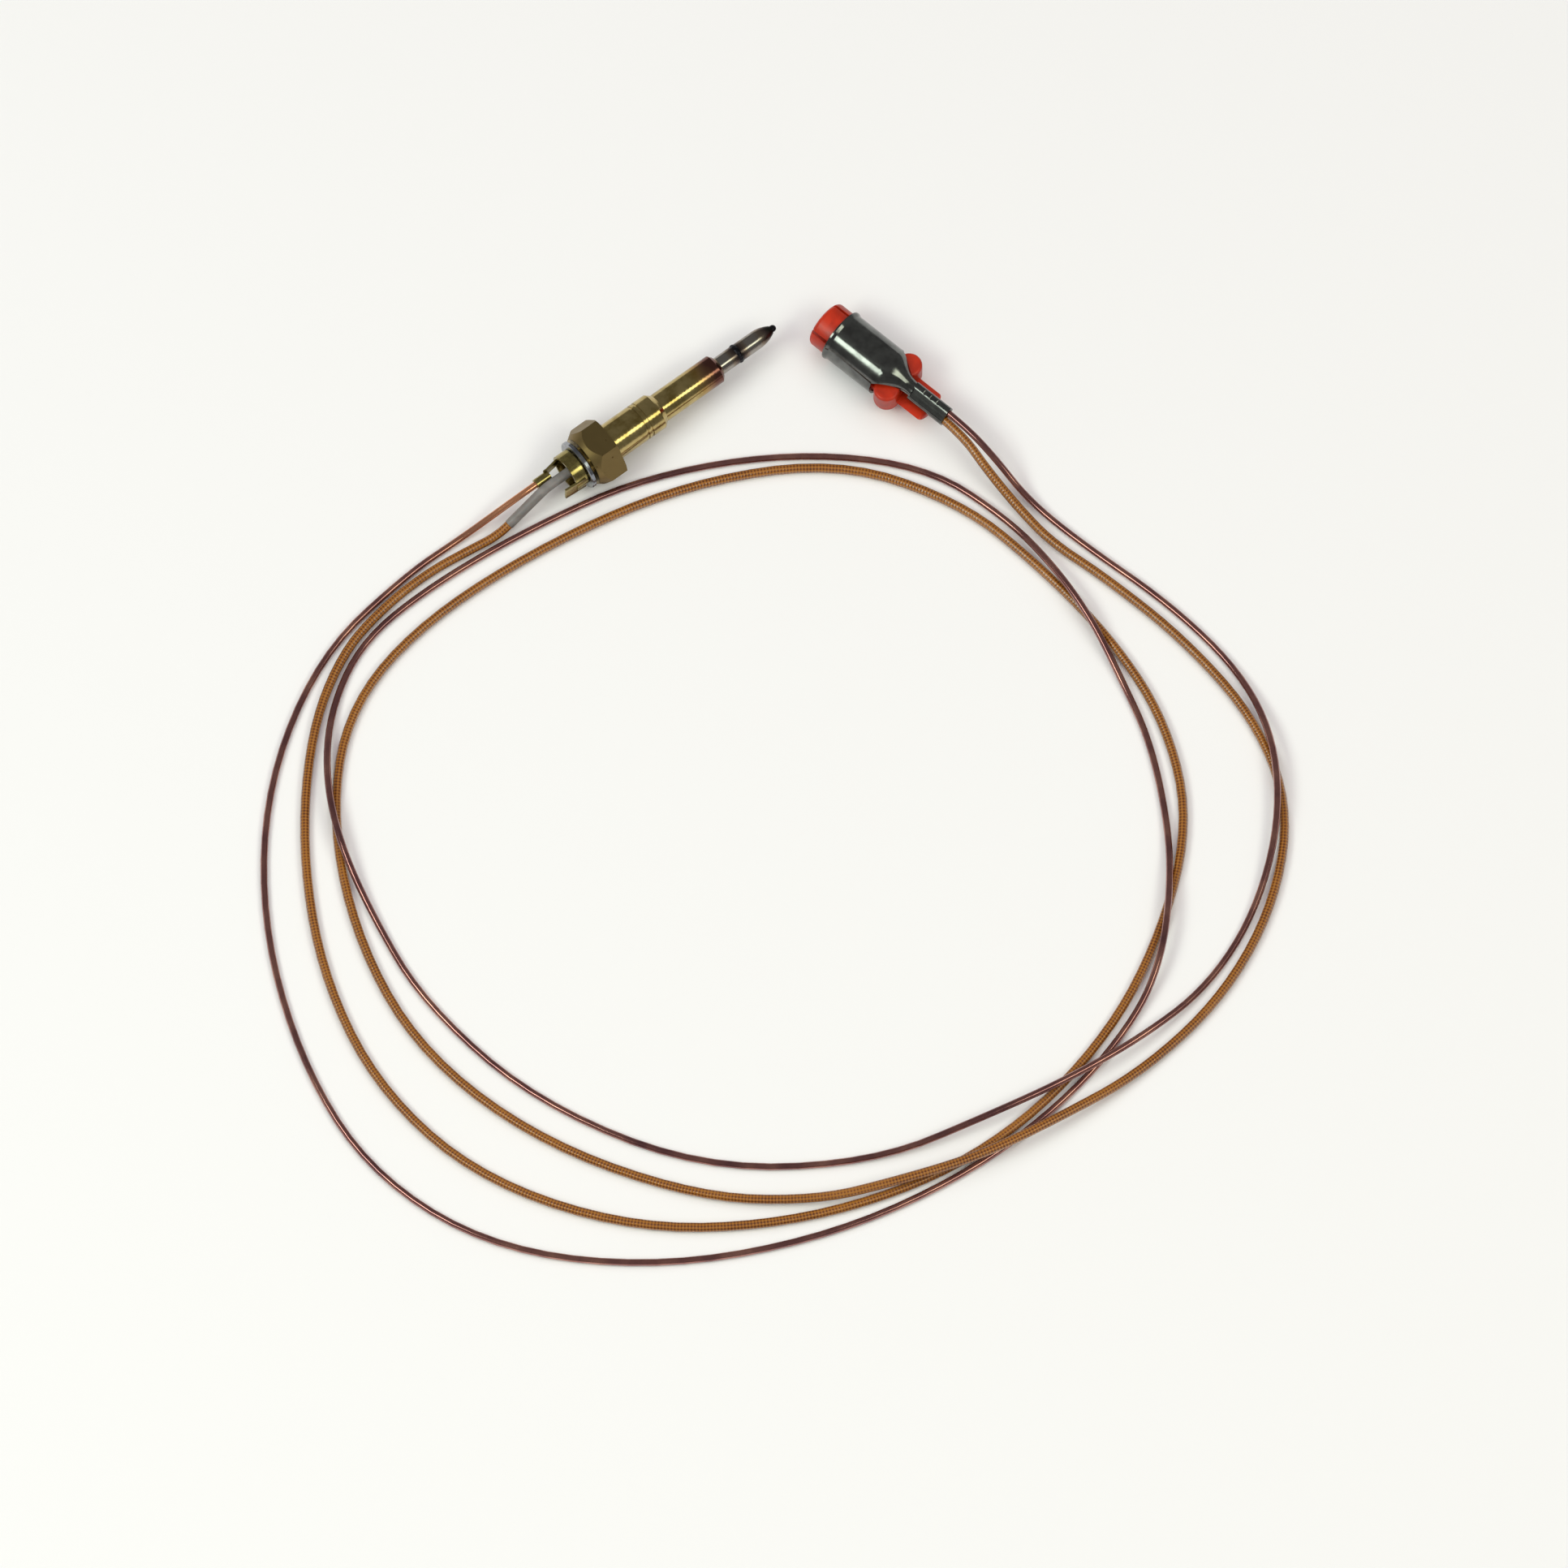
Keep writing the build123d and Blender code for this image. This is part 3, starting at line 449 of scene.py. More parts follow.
@dataclass(frozen=True)
class StainlessTube(Finish):
    """Drawn stainless tube: drawing lines along it, straw and brown tints near the welds."""

    name: str = "drawn stainless steel"
    colour: str = "#9a958f"
    roughness: float = 0.17
    metallic: float = 1.0
    line: float = 0.16 * MM
    line_depth: float = 0.005 * MM
    stretch: tuple[float, float, float] = (0.06, 1.0, 1.0)
    weld_at: float = 27.2 * MM
    weld_tint_from: float = 0.3 * MM
    weld_tint_to: float = 2.0 * MM
    tip_from: float = 31.0 * MM
    tip_end: float = 34.2 * MM
    tint_size: float = 1.4 * MM
    tint_waver: float = 0.35
    tint_dullness: float = 0.16

    def pattern(self, tree: bpy.types.NodeTree, shader: bpy.types.Node) -> None:
        """Draw the drawing lines and the heat tints."""
        place = add_node(tree, "ShaderNodeTexCoord").outputs[Pattern.PLACE.value]
        axes = add_node(tree, "ShaderNodeSeparateXYZ", {"Vector": place})
        stretched = add_node(
            tree,
            "ShaderNodeVectorMath",
            {0: place, 1: self.stretch},
            operation="MULTIPLY",
        )
        lines = add_node(
            tree,
            "ShaderNodeTexNoise",
            {"Vector": stretched.outputs["Vector"], "Scale": 1 / self.line, "Detail": 3.0},
        )
        cloud = add_node(
            tree,
            "ShaderNodeTexNoise",
            {"Vector": place, "Scale": 1 / self.tint_size, "Detail": 4.0},
        )
        offset = add_node(
            tree,
            "ShaderNodeMath",
            {0: axes.outputs["X"], 1: self.weld_at},
            operation="SUBTRACT",
        )
        away = add_node(tree, "ShaderNodeMath", {0: offset.outputs["Value"]}, operation="ABSOLUTE")
        near_weld = add_node(
            tree,
            "ShaderNodeMapRange",
            {
                "Value": away.outputs["Value"],
                "From Min": self.weld_tint_from,
                "From Max": self.weld_tint_to,
                "To Min": 0.8,
                "To Max": 0.0,
            },
        )
        near_tip = add_node(
            tree,
            "ShaderNodeMapRange",
            {
                "Value": axes.outputs["X"],
                "From Min": self.tip_from,
                "From Max": self.tip_end,
                "To Max": 0.9,
            },
        )
        hottest = add_node(
            tree,
            "ShaderNodeMath",
            {0: near_weld.outputs["Result"], 1: near_tip.outputs["Result"]},
            operation="MAXIMUM",
        )
        uneven = add_node(
            tree,
            "ShaderNodeMath",
            {0: cloud.outputs["Fac"], 1: self.tint_waver, 2: hottest.outputs["Value"]},
            operation="MULTIPLY_ADD",
        )
        tint = add_node(
            tree,
            "ShaderNodeValToRGB",
            {"Fac": uneven.outputs["Value"]},
            stops=((0.15, self.colour), (0.45, "#877a6c"), (0.75, "#5c4f4b"), (1.0, "#2c2b27")),
        )
        tree.links.new(tint.outputs["Color"], shader.inputs["Base Color"])
        dullness = add_node(
            tree,
            "ShaderNodeMath",
            {0: uneven.outputs["Value"], 1: self.tint_dullness, 2: self.roughness - 0.04},
            operation="MULTIPLY_ADD",
        )
        tree.links.new(dullness.outputs["Value"], shader.inputs["Roughness"])
        bump = add_node(
            tree,
            "ShaderNodeBump",
            {"Height": lines.outputs["Fac"], "Distance": self.line_depth, "Strength": 0.5},
        )
        tree.links.new(bump.outputs["Normal"], shader.inputs["Normal"])


@dataclass(frozen=True)
class WeldMetal(Finish):
    """Arc-welded steel: overlapping ripples round the bead, scaled nearly black."""

    name: str = "weld bead"
    colour: str = "#3a383d"
    scale: str = "#1f1e23"
    roughness: float = 0.4
    metallic: float = 1.0
    ripples: float = 14.0
    ripple_height: float = 0.4
    depth: float = 0.06 * MM
    scale_size: float = 0.5 * MM

    def pattern(self, tree: bpy.types.NodeTree, shader: bpy.types.Node) -> None:
        """Draw the ripples round the axis and the oxide scale."""
        place = add_node(tree, "ShaderNodeTexCoord").outputs[Pattern.PLACE.value]
        axes = add_node(tree, "ShaderNodeSeparateXYZ", {"Vector": place})
        angle = add_node(
            tree,
            "ShaderNodeMath",
            {0: axes.outputs["Z"], 1: axes.outputs["Y"]},
            operation="ARCTAN2",
        )
        phase = add_node(
            tree,
            "ShaderNodeMath",
            {0: angle.outputs["Value"], 1: self.ripples},
            operation="MULTIPLY",
        )
        ripple = add_node(tree, "ShaderNodeMath", {0: phase.outputs["Value"]}, operation="SINE")
        cloud = add_node(
            tree,
            "ShaderNodeTexNoise",
            {"Vector": place, "Scale": 1 / self.scale_size, "Detail": 5.0, "Roughness": 0.65},
        )
        colour = add_node(
            tree,
            "ShaderNodeValToRGB",
            {"Fac": cloud.outputs["Fac"]},
            stops=((0.35, self.scale), (0.7, self.colour)),
        )
        tree.links.new(colour.outputs["Color"], shader.inputs["Base Color"])
        height = add_node(
            tree,
            "ShaderNodeMath",
            {0: ripple.outputs["Value"], 1: self.ripple_height, 2: cloud.outputs["Fac"]},
            operation="MULTIPLY_ADD",
        )
        bump = add_node(
            tree,
            "ShaderNodeBump",
            {"Height": height.outputs["Value"], "Distance": self.depth, "Strength": 0.7},
        )
        tree.links.new(bump.outputs["Normal"], shader.inputs["Normal"])
        dullness = add_node(
            tree,
            "ShaderNodeMapRange",
            {
                "Value": cloud.outputs["Fac"],
                "To Min": self.roughness - 0.12,
                "To Max": self.roughness + 0.15,
            },
        )
        tree.links.new(dullness.outputs["Result"], shader.inputs["Roughness"])


@dataclass(frozen=True)
class LacqueredCopper(Finish):
    """Drawn copper wire under a baked brown lacquer, with a painted highlight near the crimp.

    The lacquer is a dark wine film, so the wire is nearly black where it reflects
    little and pink where it catches the light.
    """

    name: str = "lacquered copper wire"
    colour: str = "#7a4434"
    # pale peach of the painted highlight near the crimp
    bare: str = "#eea57a"
    roughness: float = 0.16
    metallic: float = 0.88
    coat: float = 0.7
    coat_roughness: float = 0.12
    film_size: float = 7.0 * MM
    grit: float = 0.6 * MM
    grit_depth: float = 0.004 * MM
    highlight_from: float = -15.5 * MM
    highlight_to: float = -34.0 * MM
    highlight_waver: float = 6.0 * MM
    highlight_side_from: float = 0.6 * MM  # the painted highlight lies only on the copper wire's own side of the head
    highlight_side_to: float = 1.4 * MM

    def pattern(self, tree: bpy.types.NodeTree, shader: bpy.types.Node) -> None:
        """Draw the lacquer's uneven thickness and the painted highlight near the crimp."""
        shader.inputs["Coat Weight"].default_value = self.coat
        shader.inputs["Coat Roughness"].default_value = self.coat_roughness
        place = add_node(tree, "ShaderNodeTexCoord").outputs[Pattern.PLACE.value]
        axes = add_node(tree, "ShaderNodeSeparateXYZ", {"Vector": place})
        cloud = add_node(
            tree,
            "ShaderNodeTexNoise",
            {"Vector": place, "Scale": 1 / self.film_size, "Detail": 4.0, "Roughness": 0.6},
        )
        film = add_node(
            tree,
            "ShaderNodeValToRGB",
            {"Fac": cloud.outputs["Fac"]},
            stops=((0.3, "#74474a"), (0.5, "#96625c"), (0.72, "#ba8474")),
        )
        # Painted highlight: a pale peach patch from the crimp back along the wire, on its own side
        # of the head.
        warped = add_node(
            tree,
            "ShaderNodeMath",
            {0: cloud.outputs["Fac"], 1: self.highlight_waver, 2: axes.outputs["X"]},
            operation="MULTIPLY_ADD",
        )
        back = add_node(
            tree,
            "ShaderNodeMapRange",
            {
                "Value": warped.outputs["Value"],
                "From Min": self.highlight_to,
                "From Max": self.highlight_from,
            },
        )
        height = add_node(
            tree,
            "ShaderNodeMapRange",
            {
                "Value": axes.outputs["Y"],
                "From Min": self.highlight_side_from,
                "From Max": self.highlight_side_to,
            },
        )
        painted_highlight_mask = add_node(
            tree,
            "ShaderNodeMath",
            {0: back.outputs["Result"], 1: height.outputs["Result"]},
            operation="MULTIPLY",
        )
        colour = add_node(
            tree,
            "ShaderNodeMix",
            {
                "Factor": painted_highlight_mask.outputs["Value"],
                COLOUR_A: film.outputs["Color"],
                COLOUR_B: linear(self.bare),
            },
            data_type="RGBA",
        )
        tree.links.new(colour.outputs[COLOUR_OUT], shader.inputs["Base Color"])
        grit = add_node(
            tree,
            "ShaderNodeTexNoise",
            {"Vector": place, "Scale": 1 / self.grit, "Detail": 3.0},
        )
        bump = add_node(
            tree,
            "ShaderNodeBump",
            {"Height": grit.outputs["Fac"], "Distance": self.grit_depth, "Strength": 0.4},
        )
        tree.links.new(bump.outputs["Normal"], shader.inputs["Normal"])
        dullness = add_node(
            tree,
            "ShaderNodeMapRange",
            {
                "Value": grit.outputs["Fac"],
                "To Min": self.roughness - 0.05,
                "To Max": self.roughness + 0.07,
            },
        )
        tree.links.new(dullness.outputs["Result"], shader.inputs["Roughness"])


@dataclass(frozen=True)
class VarnishedGlassFibre(Finish):
    """Glass-fibre yarn braided over the wire and soaked in amber varnish.

    Two sets of yarns cross over the lead; the varnish pools between them, and the colour also
    carries painted shade: the crowns are painted lighter and the gaps darker.
    """

    name: str = "varnished glass fibre braid"
    colour: str = "#824604"
    # dark of the varnish pools, with painted shade in the gaps between yarns
    gap_varnish_and_shade: str = "#4c2602"
    crown_and_painted_light: str = "#a4691e"
    roughness: float = 0.34
    yarn_pitch: float = 1.1 * MM  # real yarns lie closer and are drawn coarse enough to show
    yarns_round: float = 4.0
    yarn_depth: float = 0.07 * MM
    amber_size: float = 9.0 * MM
    amber_share: float = 0.7
    grit: float = 0.45 * MM
    grit_share: float = 0.6
    coat: float = 0.8
    coat_roughness: float = 0.1
    coat_ior: float = 1.55

    def pattern(self, tree: bpy.types.NodeTree, shader: bpy.types.Node) -> None:
        """Draw the crossing yarns along the lead, the varnish over them and the painted shade
        between them.
        """
        shader.inputs["Coat Weight"].default_value = self.coat
        shader.inputs["Coat Roughness"].default_value = self.coat_roughness
        shader.inputs["Coat IOR"].default_value = self.coat_ior
        uv = add_node(tree, "ShaderNodeTexCoord").outputs[Pattern.ALONG_THE_PIECE.value]
        axes = add_node(tree, "ShaderNodeSeparateXYZ", {"Vector": uv})
        sides = []
        for hand in (1.0, -1.0):
            around = add_node(
                tree,
                "ShaderNodeMath",
                {0: axes.outputs["Y"], 1: hand * self.yarns_round * 2 * math.pi},
                operation="MULTIPLY",
            )
            phase = add_node(
                tree,
                "ShaderNodeMath",
                {
                    0: axes.outputs["X"],
                    1: 2 * math.pi / (self.yarn_pitch / MM),
                    2: around.outputs["Value"],
                },
                operation="MULTIPLY_ADD",
            )
            wave = add_node(tree, "ShaderNodeMath", {0: phase.outputs["Value"]}, operation="SINE")
            sides.append(wave.outputs["Value"])
        braid = add_node(
            tree, "ShaderNodeMath", {0: sides[0], 1: sides[1]}, operation="MULTIPLY"
        )
        place = add_node(tree, "ShaderNodeTexCoord").outputs[Pattern.PLACE.value]
        cloud = add_node(
            tree,
            "ShaderNodeTexNoise",
            {"Vector": place, "Scale": 1 / self.amber_size, "Detail": 5.0, "Roughness": 0.65},
        )
        grit = add_node(
            tree,
            "ShaderNodeTexNoise",
            {"Vector": place, "Scale": 1 / self.grit, "Detail": 3.0},
        )
        yarn_relief_and_shade = add_node(
            tree,
            "ShaderNodeMapRange",
            {"Value": braid.outputs["Value"], "From Min": -1.0, "From Max": 1.0},
        )
        mixed = add_node(
            tree,
            "ShaderNodeMath",
            {0: cloud.outputs["Fac"], 1: self.amber_share, 2: yarn_relief_and_shade.outputs["Result"]},
            operation="MULTIPLY_ADD",
        )
        # Painted shade: darker gaps and lighter crowns, following the yarns' relief.
        colour = add_node(
            tree,
            "ShaderNodeValToRGB",
            {"Fac": mixed.outputs["Value"]},
            stops=((0.35, self.gap_varnish_and_shade), (0.72, self.colour), (1.0, self.crown_and_painted_light)),
        )
        tree.links.new(colour.outputs["Color"], shader.inputs["Base Color"])
        height = add_node(
            tree,
            "ShaderNodeMath",
            {0: grit.outputs["Fac"], 1: self.grit_share, 2: yarn_relief_and_shade.outputs["Result"]},
            operation="MULTIPLY_ADD",
        )
        bump = add_node(
            tree,
            "ShaderNodeBump",
            {"Height": height.outputs["Value"], "Distance": self.yarn_depth, "Strength": 0.7},
        )
        tree.links.new(bump.outputs["Normal"], shader.inputs["Normal"])
        tree.links.new(bump.outputs["Normal"], shader.inputs["Coat Normal"])
        dullness = add_node(
            tree,
            "ShaderNodeMapRange",
            {
                "Value": grit.outputs["Fac"],
                "To Min": self.roughness - 0.1,
                "To Max": self.roughness + 0.15,
            },
        )
        tree.links.new(dullness.outputs["Result"], shader.inputs["Roughness"])


@dataclass(frozen=True)
class MouldedPlastic(Finish):
    """Moulded or extruded plastic: a soft skin with a very fine texture and flow marks."""

    name: str = "moulded nylon"
    colour: str = "#c42d05"
    deep: str = "#a32104"
    roughness: float = 0.38
    flow_size: float = 3.2 * MM
    texture: float = 0.22 * MM
    depth: float = 0.02 * MM
    glow: float = 0.12
    glow_depth: float = 1.2 * MM
    ior: float = 1.53

    def pattern(self, tree: bpy.types.NodeTree, shader: bpy.types.Node) -> None:
        """Draw the flow marks and the mould's fine texture."""
        shader.inputs["Subsurface Weight"].default_value = self.glow
        shader.inputs["Subsurface Radius"].default_value = (1.0, 0.35, 0.2)
        shader.inputs["Subsurface Scale"].default_value = self.glow_depth
        shader.inputs["IOR"].default_value = self.ior
        place = add_node(tree, "ShaderNodeTexCoord").outputs[Pattern.PLACE.value]
        cloud = add_node(
            tree,
            "ShaderNodeTexNoise",
            {"Vector": place, "Scale": 1 / self.flow_size, "Detail": 3.0, "Distortion": 0.6},
        )
        colour = add_node(
            tree,
            "ShaderNodeValToRGB",
            {"Fac": cloud.outputs["Fac"]},
            stops=((0.35, self.deep), (0.65, self.colour)),
        )
        tree.links.new(colour.outputs["Color"], shader.inputs["Base Color"])
        grain = add_node(
            tree,
            "ShaderNodeTexNoise",
            {"Vector": place, "Scale": 1 / self.texture, "Detail": 2.0},
        )
        bump = add_node(
            tree,
            "ShaderNodeBump",
            {"Height": grain.outputs["Fac"], "Distance": self.depth, "Strength": 0.4},
        )
        tree.links.new(bump.outputs["Normal"], shader.inputs["Normal"])
        dullness = add_node(
            tree,
            "ShaderNodeMapRange",
            {
                "Value": cloud.outputs["Fac"],
                "To Min": self.roughness - 0.08,
                "To Max": self.roughness + 0.12,
            },
        )
        tree.links.new(dullness.outputs["Result"], shader.inputs["Roughness"])


# ------------------------------------------------------------------------ helpers


def dress(piece: bpy.types.Object, material: bpy.types.Material) -> None:
    """Give a piece its finish.

    Args:
        piece: A new piece, or a node of the CAD model.
        material: Its one material.
    """
    if not piece.material_slots:
        piece.data.materials.append(material)
    for place in piece.material_slots:
        place.material = material
    LOG.info("%s is finished in %s", piece.name, material.name)


def new_line(name: str, points: Sequence[Vector], radius: float) -> bpy.types.Object:
    """Make a wire as one smooth spline.

    Args:
        name: The piece's name.
        points: The route's points, in metres.
        radius: The wire's radius, or nought for its bare line.

    Returns:
        The curve object.
    """
    curve = bpy.data.curves.new(name, "CURVE")
    curve.dimensions = "3D"
    curve.resolution_u = 6
    curve.bevel_depth = radius
    curve.bevel_resolution = 3
    spline = curve.splines.new("NURBS")
    spline.points.add(len(points) - 1)
    for control, point in zip(spline.points, points):
        control.co = (*point, 1.0)
    spline.order_u = 3
    spline.use_endpoint_u = True
    piece = bpy.data.objects.new(name, curve)
    bpy.context.scene.collection.objects.link(piece)
    return piece


def follow(line: bpy.types.Object) -> list[Vector]:
    """Read the points of a wire's bare line.

    Args:
        line: A curve with no bevel.

    Returns:
        Its points in order.
    """
    graph = bpy.context.evaluated_depsgraph_get()
    mesh = bpy.data.meshes.new_from_object(line.evaluated_get(graph))
    points = [vertex.co.copy() for vertex in mesh.vertices]
    bpy.data.meshes.remove(mesh)
    return points


# ------------------------------------------------------------------------ the object


@dataclass
class Studio:
    """The table, the lights and the camera."""

    azimuth: float = -37.6
    elevation: float = 66.9
    frame_width: float = 261.0 * MM
    distance: float = 6.0
    aim: tuple[float, float, float] = (-12.9 * MM, -65.1 * MM, TABLE_Z)
    head_side: float = 40.0 * MM  # the lights aim this far from the loops' middle to the head

    def back(self) -> Vector:
        """Find the direction from the object to the camera."""
        turn, rise = math.radians(self.azimuth), math.radians(self.elevation)
        return Vector(
            (
                math.sin(turn) * math.cos(rise),
                -math.cos(turn) * math.cos(rise),
                math.sin(rise),
            )
        )

    def place_camera(self) -> None:
        """Add the camera at its angle, level with the horizon."""
        bpy.ops.object.camera_add(location=Vector(self.aim) + self.back() * self.distance)
        camera = bpy.context.object
        camera.name = "camera"
        camera.rotation_euler = self.back().to_track_quat("Z", "Y").to_euler()
        camera.data.sensor_width = SENSOR_WIDTH
        camera.data.lens = SENSOR_WIDTH * self.distance / self.frame_width
        camera.data.clip_start = 0.05
        camera.data.clip_end = 20.0
        bpy.context.scene.camera = camera

    def light(
        self,
        name: str,
        towards: tuple[float, float, float],
        distance: float,
        size: tuple[float, float],
        watts: float,
        colour: str = "#ffffff",
        mirrored: bool = True,
    ) -> None:
        """Hang one rectangular softbox that faces the object.

        Args:
            name: The light's name.
            towards: Direction from the object to the light.
            distance: How far away it hangs, in metres.
            size: Its width and height, in metres.
            watts: Its power.
            colour: Its sRGB hex colour.
            mirrored: Whether polished metal mirrors it.
        """
        away = Vector(towards).normalized()
        centre = Vector(self.aim) + Vector((0.0, self.head_side, 0.0))
        bpy.ops.object.light_add(type="AREA", location=centre + away * distance)
        lamp = bpy.context.object
        lamp.name = name
        lamp.rotation_euler = away.to_track_quat("Z", "Y").to_euler()
        lamp.data.shape = "RECTANGLE"
        lamp.data.size, lamp.data.size_y = size
        lamp.data.energy = watts
        lamp.data.color = linear(colour)[:3]
        lamp.visible_glossy = mirrored

    def light_up(self) -> None:
        """Hang the softboxes and dim the room round them."""
        self.light("near strip", (0.24, -0.58, 0.78), 1.1, (0.6, 0.3), 2.0, "#faffe6")
        self.light("left strip", (-0.63, 0.13, 0.76), 1.1, (0.6, 0.36), 4.0, "#f4fff0")
        self.light("top fill", (0.0, 0.0, 1.0), 1.5, (3.0, 3.0), 24.0, "#fff8fd", False)
        world = bpy.data.worlds.new("room")
        world.use_nodes = True
        background = world.node_tree.nodes["Background"]
        background.inputs["Color"].default_value = linear("#f2f0ec")
        background.inputs["Strength"].default_value = 0.24
        bpy.context.scene.world = world
        bpy.context.scene.view_settings.view_transform = "Standard"

    def lay_table(self) -> None:
        """Put a plain pale table under the object."""
        bpy.ops.mesh.primitive_plane_add(size=6.0, location=(0.0, 0.0, 0.0))
        floor = bpy.context.object
        floor.name = "table"
        floor.data.transform(Matrix.Translation((0.0, 0.0, TABLE_Z)))
        material = bpy.data.materials.new("white paper")
        material.use_nodes = True
        shader = material.node_tree.nodes["Principled BSDF"]
        shader.inputs["Base Color"].default_value = linear("#f7f7f7")
        shader.inputs["Roughness"].default_value = 0.9
        shader.inputs["Specular IOR Level"].default_value = 0.1
        floor.data.materials.append(material)


@dataclass
class Leads:
    """The bare earth wire and the insulated wire, from the head to the connector.

    Each route is a list of x, y and the height of the wire's middle above the table,
    in millimetres.
    """

    copper_diameter: float = 1.2 * MM
    copper_length: float = 0.860
    insulated_diameter: float = 1.6 * MM
    insulated_length: float = 0.833
    smooth_under: float = math.radians(50)
    copper_route: tuple[tuple[float, float, float], ...] = (
        (-10.95, 1.7, 4.5), (-16.05, 1.7, 4.5),
        (-21.5, 2.3, 2.6), (-28.5, 2.9, 0.6), (-40.0, 3.2, 0.6),
        (-60.0, 0.4, 0.6), (-81.0, -12.5, 0.6), (-97.0, -32.0, 0.6), (-107.2, -56.0, 0.6),
        (-110.2, -79.0, 0.6), (-102.5, -102.0, 0.6), (-83.0, -121.5, 0.6), (-57.0, -134.5, 0.6),
        (-31.0, -139.8, 0.6), (-9.0, -138.9, 0.6), (8.0, -134.2, 0.6), (17.0, -129.0, 2.7),
        (25.0, -121.0, 2.8), (32.6, -111.0, 0.7), (40.0, -96.5, 0.6), (43.2, -84.0, 0.6),
        (45.2, -74.0, 2.8), (46.2, -63.0, 2.7), (45.9, -50.0, 0.6), (41.0, -34.0, 0.6),
        (25.0, -18.5, 0.6), (3.0, -7.0, 0.6), (-18.0, -2.7, 0.6), (-38.0, -0.9, 0.6),
        (-53.0, -1.9, 0.6), (-64.5, -8.4, 0.6), (-73.0, -18.0, 2.7), (-78.5, -29.0, 2.8),
        (-81.7, -42.0, 0.6), (-84.6, -60.0, 0.6), (-80.8, -85.5, 0.6), (-66.3, -112.0, 0.6),
        (-43.0, -128.5, 0.6), (-22.0, -134.2, 2.7), (-8.0, -137.0, 2.8), (6.0, -138.3, 2.4),
        (20.0, -137.3, 0.6), (34.0, -132.0, 0.6), (46.8, -122.5, 2.7), (55.8, -110.0, 2.8),
        (59.6, -96.0, 0.6), (57.9, -79.0, 0.6), (52.9, -61.0, 0.6), (50.6, -49.5, 0.9),
        (49.9, -41.2, 4.7), (49.0446, -34.0397, 6.35), (47.544, -26.7935, 6.35),
    )
    insulated_route: tuple[tuple[float, float, float], ...] = (
        (-21.0, -0.4, 1.8), (-23.5, -0.525, 0.8), (-28.5, 0.2, 0.8), (-36.5, 1.2, 0.8),
        (-46.0, 0.8, 0.8), (-57.0, -1.6, 0.8), (-70.0, -10.0, 0.8), (-84.0, -26.0, 0.8),
        (-95.0, -46.0, 0.8), (-100.0, -68.0, 0.8), (-96.5, -91.0, 0.8), (-82.0, -113.5, 0.8),
        (-62.0, -128.0, 0.8), (-40.0, -136.3, 0.8), (-19.0, -138.3, 0.8), (3.0, -133.8, 0.8),
        (21.0, -124.5, 0.8), (36.5, -111.5, 0.8), (44.2, -95.0, 0.8), (46.2, -78.0, 0.8),
        (44.8, -60.0, 0.8), (41.5, -43.0, 0.8), (30.0, -24.5, 0.8), (8.0, -12.5, 0.8),
        (-17.0, -6.8, 0.8), (-43.0, -5.3, 0.8), (-62.0, -10.2, 0.8), (-76.0, -23.5, 0.8),
        (-86.5, -44.0, 0.8), (-90.5, -67.0, 0.8), (-84.5, -92.0, 0.8), (-70.0, -115.5, 0.8),
        (-55.0, -128.3, 1.6), (-42.0, -134.3, 3.0), (-29.0, -138.9, 3.0), (-15.0, -141.4, 3.0),
        (2.0, -142.8, 0.8), (21.0, -140.4, 0.8), (38.0, -132.5, 0.8), (51.0, -120.0, 0.8),
        (56.3, -104.0, 0.8), (55.7, -85.0, 0.8), (52.1, -68.0, 0.8), (49.0, -58.0, 0.8),
        (48.3, -49.5, 1.4), (47.8, -41.8, 3.8), (48.0654, -34.2425, 5.25),
        (46.5647, -26.9962, 5.25),
    )

    def points(self, route: Sequence[tuple[float, float, float]]) -> list[Vector]:
        """Turn a route to places in the frame, in metres."""
        return [Vector((x * MM, y * MM, TABLE_Z + height * MM)) for x, y, height in route]

    def braided_tube(self) -> tuple[bpy.types.Object, list[Vector]]:
        """Make the insulated lead as a tube whose map runs along and round it.

        Returns:
            The mesh piece, and the points of the line that it follows.
        """
        points = self.points(self.insulated_route)
        bare = new_line("insulated line", points, 0.0)
        path = follow(bare)
        bpy.data.objects.remove(bare)
        piece = new_line("insulated_braid", points, self.insulated_diameter / 2)
        bpy.ops.object.select_all(action="DESELECT")
        bpy.context.view_layer.objects.active = piece
        piece.select_set(True)
        bpy.ops.object.convert(target="MESH")
        piece = bpy.context.object
        mesh = piece.data
        around = len(mesh.vertices) // len(path)
        travelled = [0.0]
        for here, there in zip(path, path[1:]):
            travelled.append(travelled[-1] + (there - here).length)
        layer = mesh.uv_layers[0] if mesh.uv_layers else mesh.uv_layers.new(name="UVMap")
        for face in mesh.polygons:
            places = [mesh.loops[loop].vertex_index for loop in face.loop_indices]
            turns = [place % around for place in places]
            wraps = max(turns) - min(turns) > 1
            for loop, place, turn in zip(face.loop_indices, places, turns):
                part = (turn + around if wraps and turn == 0 else turn) / around
                layer.data[loop].uv = (travelled[place // around] / MM, part)
        bpy.ops.object.mode_set(mode="EDIT")
        bpy.ops.mesh.select_all(action="DESELECT")
        bpy.ops.mesh.select_mode(type="EDGE")
        bpy.ops.mesh.select_non_manifold()
        bpy.ops.mesh.fill_holes(sides=0)
        bpy.ops.object.mode_set(mode="OBJECT")
        bpy.ops.object.shade_smooth_by_angle(angle=self.smooth_under)
        return piece, path

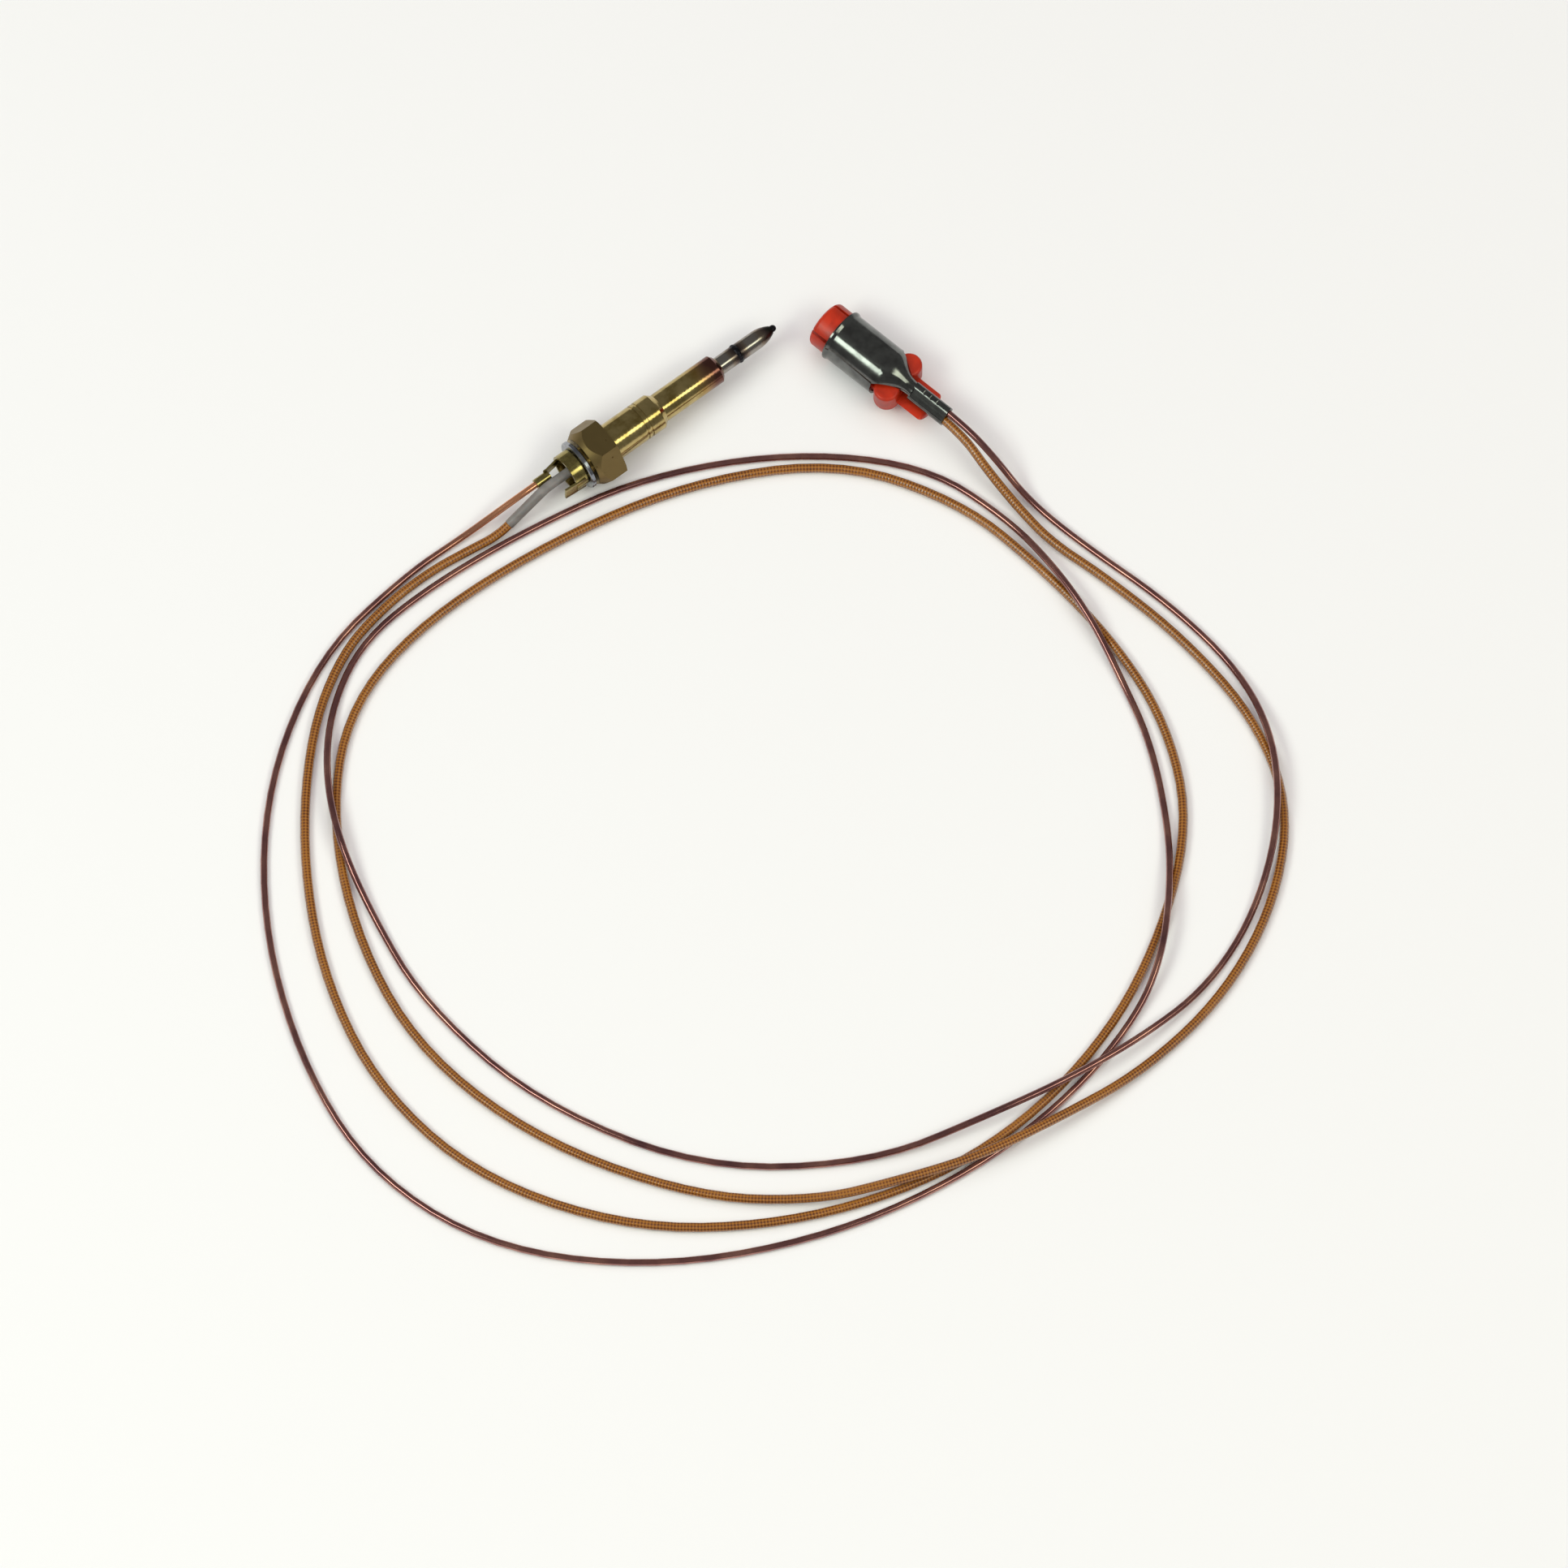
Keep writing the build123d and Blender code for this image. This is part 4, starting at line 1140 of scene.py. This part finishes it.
    def build(self, connector: Sequence[bpy.types.Object]) -> list[bpy.types.Object]:
        """Args:
            connector: The pieces at the leads' far end; not used.

        Returns:
            Both leads.
        """
        copper_points = self.points(self.copper_route)
        copper = new_line("copper_wire", copper_points, self.copper_diameter / 2)
        copper.data.use_fill_caps = True
        dress(copper, LacqueredCopper().make())
        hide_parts("copper_lead")
        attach(copper, FIXED_BODY)
        braid, path = self.braided_tube()
        dress(braid, VarnishedGlassFibre().make())
        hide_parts("insulated_lead")
        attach(braid, FIXED_BODY)
        LOG.info("leads laid: %.3f and %.3f m", self.copper_length, self.insulated_length)
        return [copper, braid]


@dataclass
class BurnerHead:
    """The turned brass body with its probe, and what is fixed behind the hexagon."""

    finishes: dict[str, Finish] = field(
        default_factory=lambda: {
            # Turned from bar: bright rings on the barrel, dull brown flats on the hexagon.
            "hex_body": TurnedBrass(),
            # Drawn tube: long soft streaks, straw and brown towards the weld.
            "probe_tube": StainlessTube(),
            # Drawn cap: like the tube, a little duller and scorched at its point.
            "probe_tip": StainlessTube(name="drawn stainless steel cap", roughness=0.2),
            # Fused bead: rippled and nearly black.
            "probe_weld_ring": WeldMetal(),
            # Fused knob: coarser ripples under the same black scale.
            "hot_junction_bead": WeldMetal(name="welded hot junction", ripples=7.0),
            # Braze run into the joint: brown-gold and softly rippled.
            "braze_ring": WeldMetal(
                name="silver braze", colour="#b7a98c", scale="#8c7350", roughness=0.3, ripples=9.0
            ),
            # Zinc on stamped steel: cold and bright, with grey stains.
            "retaining_washer": SheetMetal(
                name="bright zinc-plated steel",
                colour="#a6a8ac",
                stain="#7c8089",
                roughness=0.2,
                grain=0.4 * MM,
            ),
            # Bare pressed sheet: bright yellow, with brown stains.
            "earth_terminal": SheetMetal(
                name="pressed sheet brass",
                colour="#b3a468",
                stain="#8a7c4a",
                roughness=0.24,
                grain=0.25 * MM,
            ),
            # Drawn wire: plain warm grey with a soft shine.
            "electrode": SheetMetal(
                name="drawn constantan wire", colour="#a9a196", stain="#8b8378", roughness=0.25
            ),
            # Woven glass sleeve: matt cream.
            "electrode_insulation": MouldedPlastic(
                name="glass fibre sleeving",
                colour="#d9d2c0",
                deep="#c4baa2",
                roughness=0.7,
                glow=0.05,
            ),
            # Pressed and fired ceramic: matt off-white.
            "rear_bush": MouldedPlastic(
                name="fired steatite", colour="#e4ddcf", deep="#cfc5b2", roughness=0.6, glow=0.05
            ),
            # Soft extruded rubber: smoky grey that lets a little light in.
            "splice_sleeve": MouldedPlastic(
                name="extruded silicone sleeve",
                colour="#8b8784",
                deep="#726e6b",
                roughness=0.42,
                glow=0.25,
            ),
            # Tinned by dipping: pale grey, a little dull.
            "splice_ferrule": SheetMetal(
                name="tinned copper ferrule", colour="#b9b6ae", stain="#97938a", roughness=0.3
            ),
            # Drawn wire: plain warm grey with a soft shine.
            "lead_core_head_end": SheetMetal(
                name="constantan core", colour="#a9a196", stain="#8b8378", roughness=0.25
            ),
        }
    )

    def build(self, nodes: dict[str, bpy.types.Object]) -> None:
        """Dress every node of the head.

        Args:
            nodes: The CAD nodes by name.
        """
        for name, finish in self.finishes.items():
            dress(nodes[name], finish.make())


@dataclass
class PushOnConnector:
    """The tinned sheet shell, the red insulator in it and the centre contact."""

    finishes: dict[str, Finish] = field(
        default_factory=lambda: {
            # Tin on rolled sheet: a dark mirror with faint roller lines along the tube.
            "connector_shell": SheetMetal(
                name="tin-plated sheet steel",
                colour="#727472",
                stain="#5c5d5c",
                roughness=0.16,
                grain=0.35 * MM,
                heading=TAIL_HEADING,
            ),
            # Injection-moulded: even orange-red with a soft sheen and faint flow marks.
            "connector_insulator": MouldedPlastic(name="moulded red nylon"),
            # Rolled spring brass: warm yellow, deep in the mouth.
            "centre_contact": SheetMetal(
                name="spring brass contact", colour="#cbb05a", stain="#a38742", roughness=0.22
            ),
            # Drawn wire: plain warm grey with a soft shine.
            "lead_core_connector_end": SheetMetal(
                name="constantan core in the connector",
                colour="#a9a196",
                stain="#8b8378",
                roughness=0.25,
            ),
        }
    )

    def build(self, nodes: dict[str, bpy.types.Object]) -> list[bpy.types.Object]:
        """Dress every node of the connector.

        Args:
            nodes: The CAD nodes by name.

        Returns:
            The pieces at the leads' far end.
        """
        for name, finish in self.finishes.items():
            dress(nodes[name], finish.make())
        return [nodes[name] for name in ("connector_shell", "connector_insulator")]


def main() -> None:
    """Build the whole model in order."""
    logging.basicConfig(level=logging.INFO, format="%(name)s: %(message)s")
    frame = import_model()
    nodes = frame["nodes"]
    studio = Studio()
    studio.place_camera()
    connector = PushOnConnector().build(nodes)
    Leads().build(connector)
    BurnerHead().build(nodes)
    studio.lay_table()
    studio.light_up()


if __name__ == "__main__":
    main()
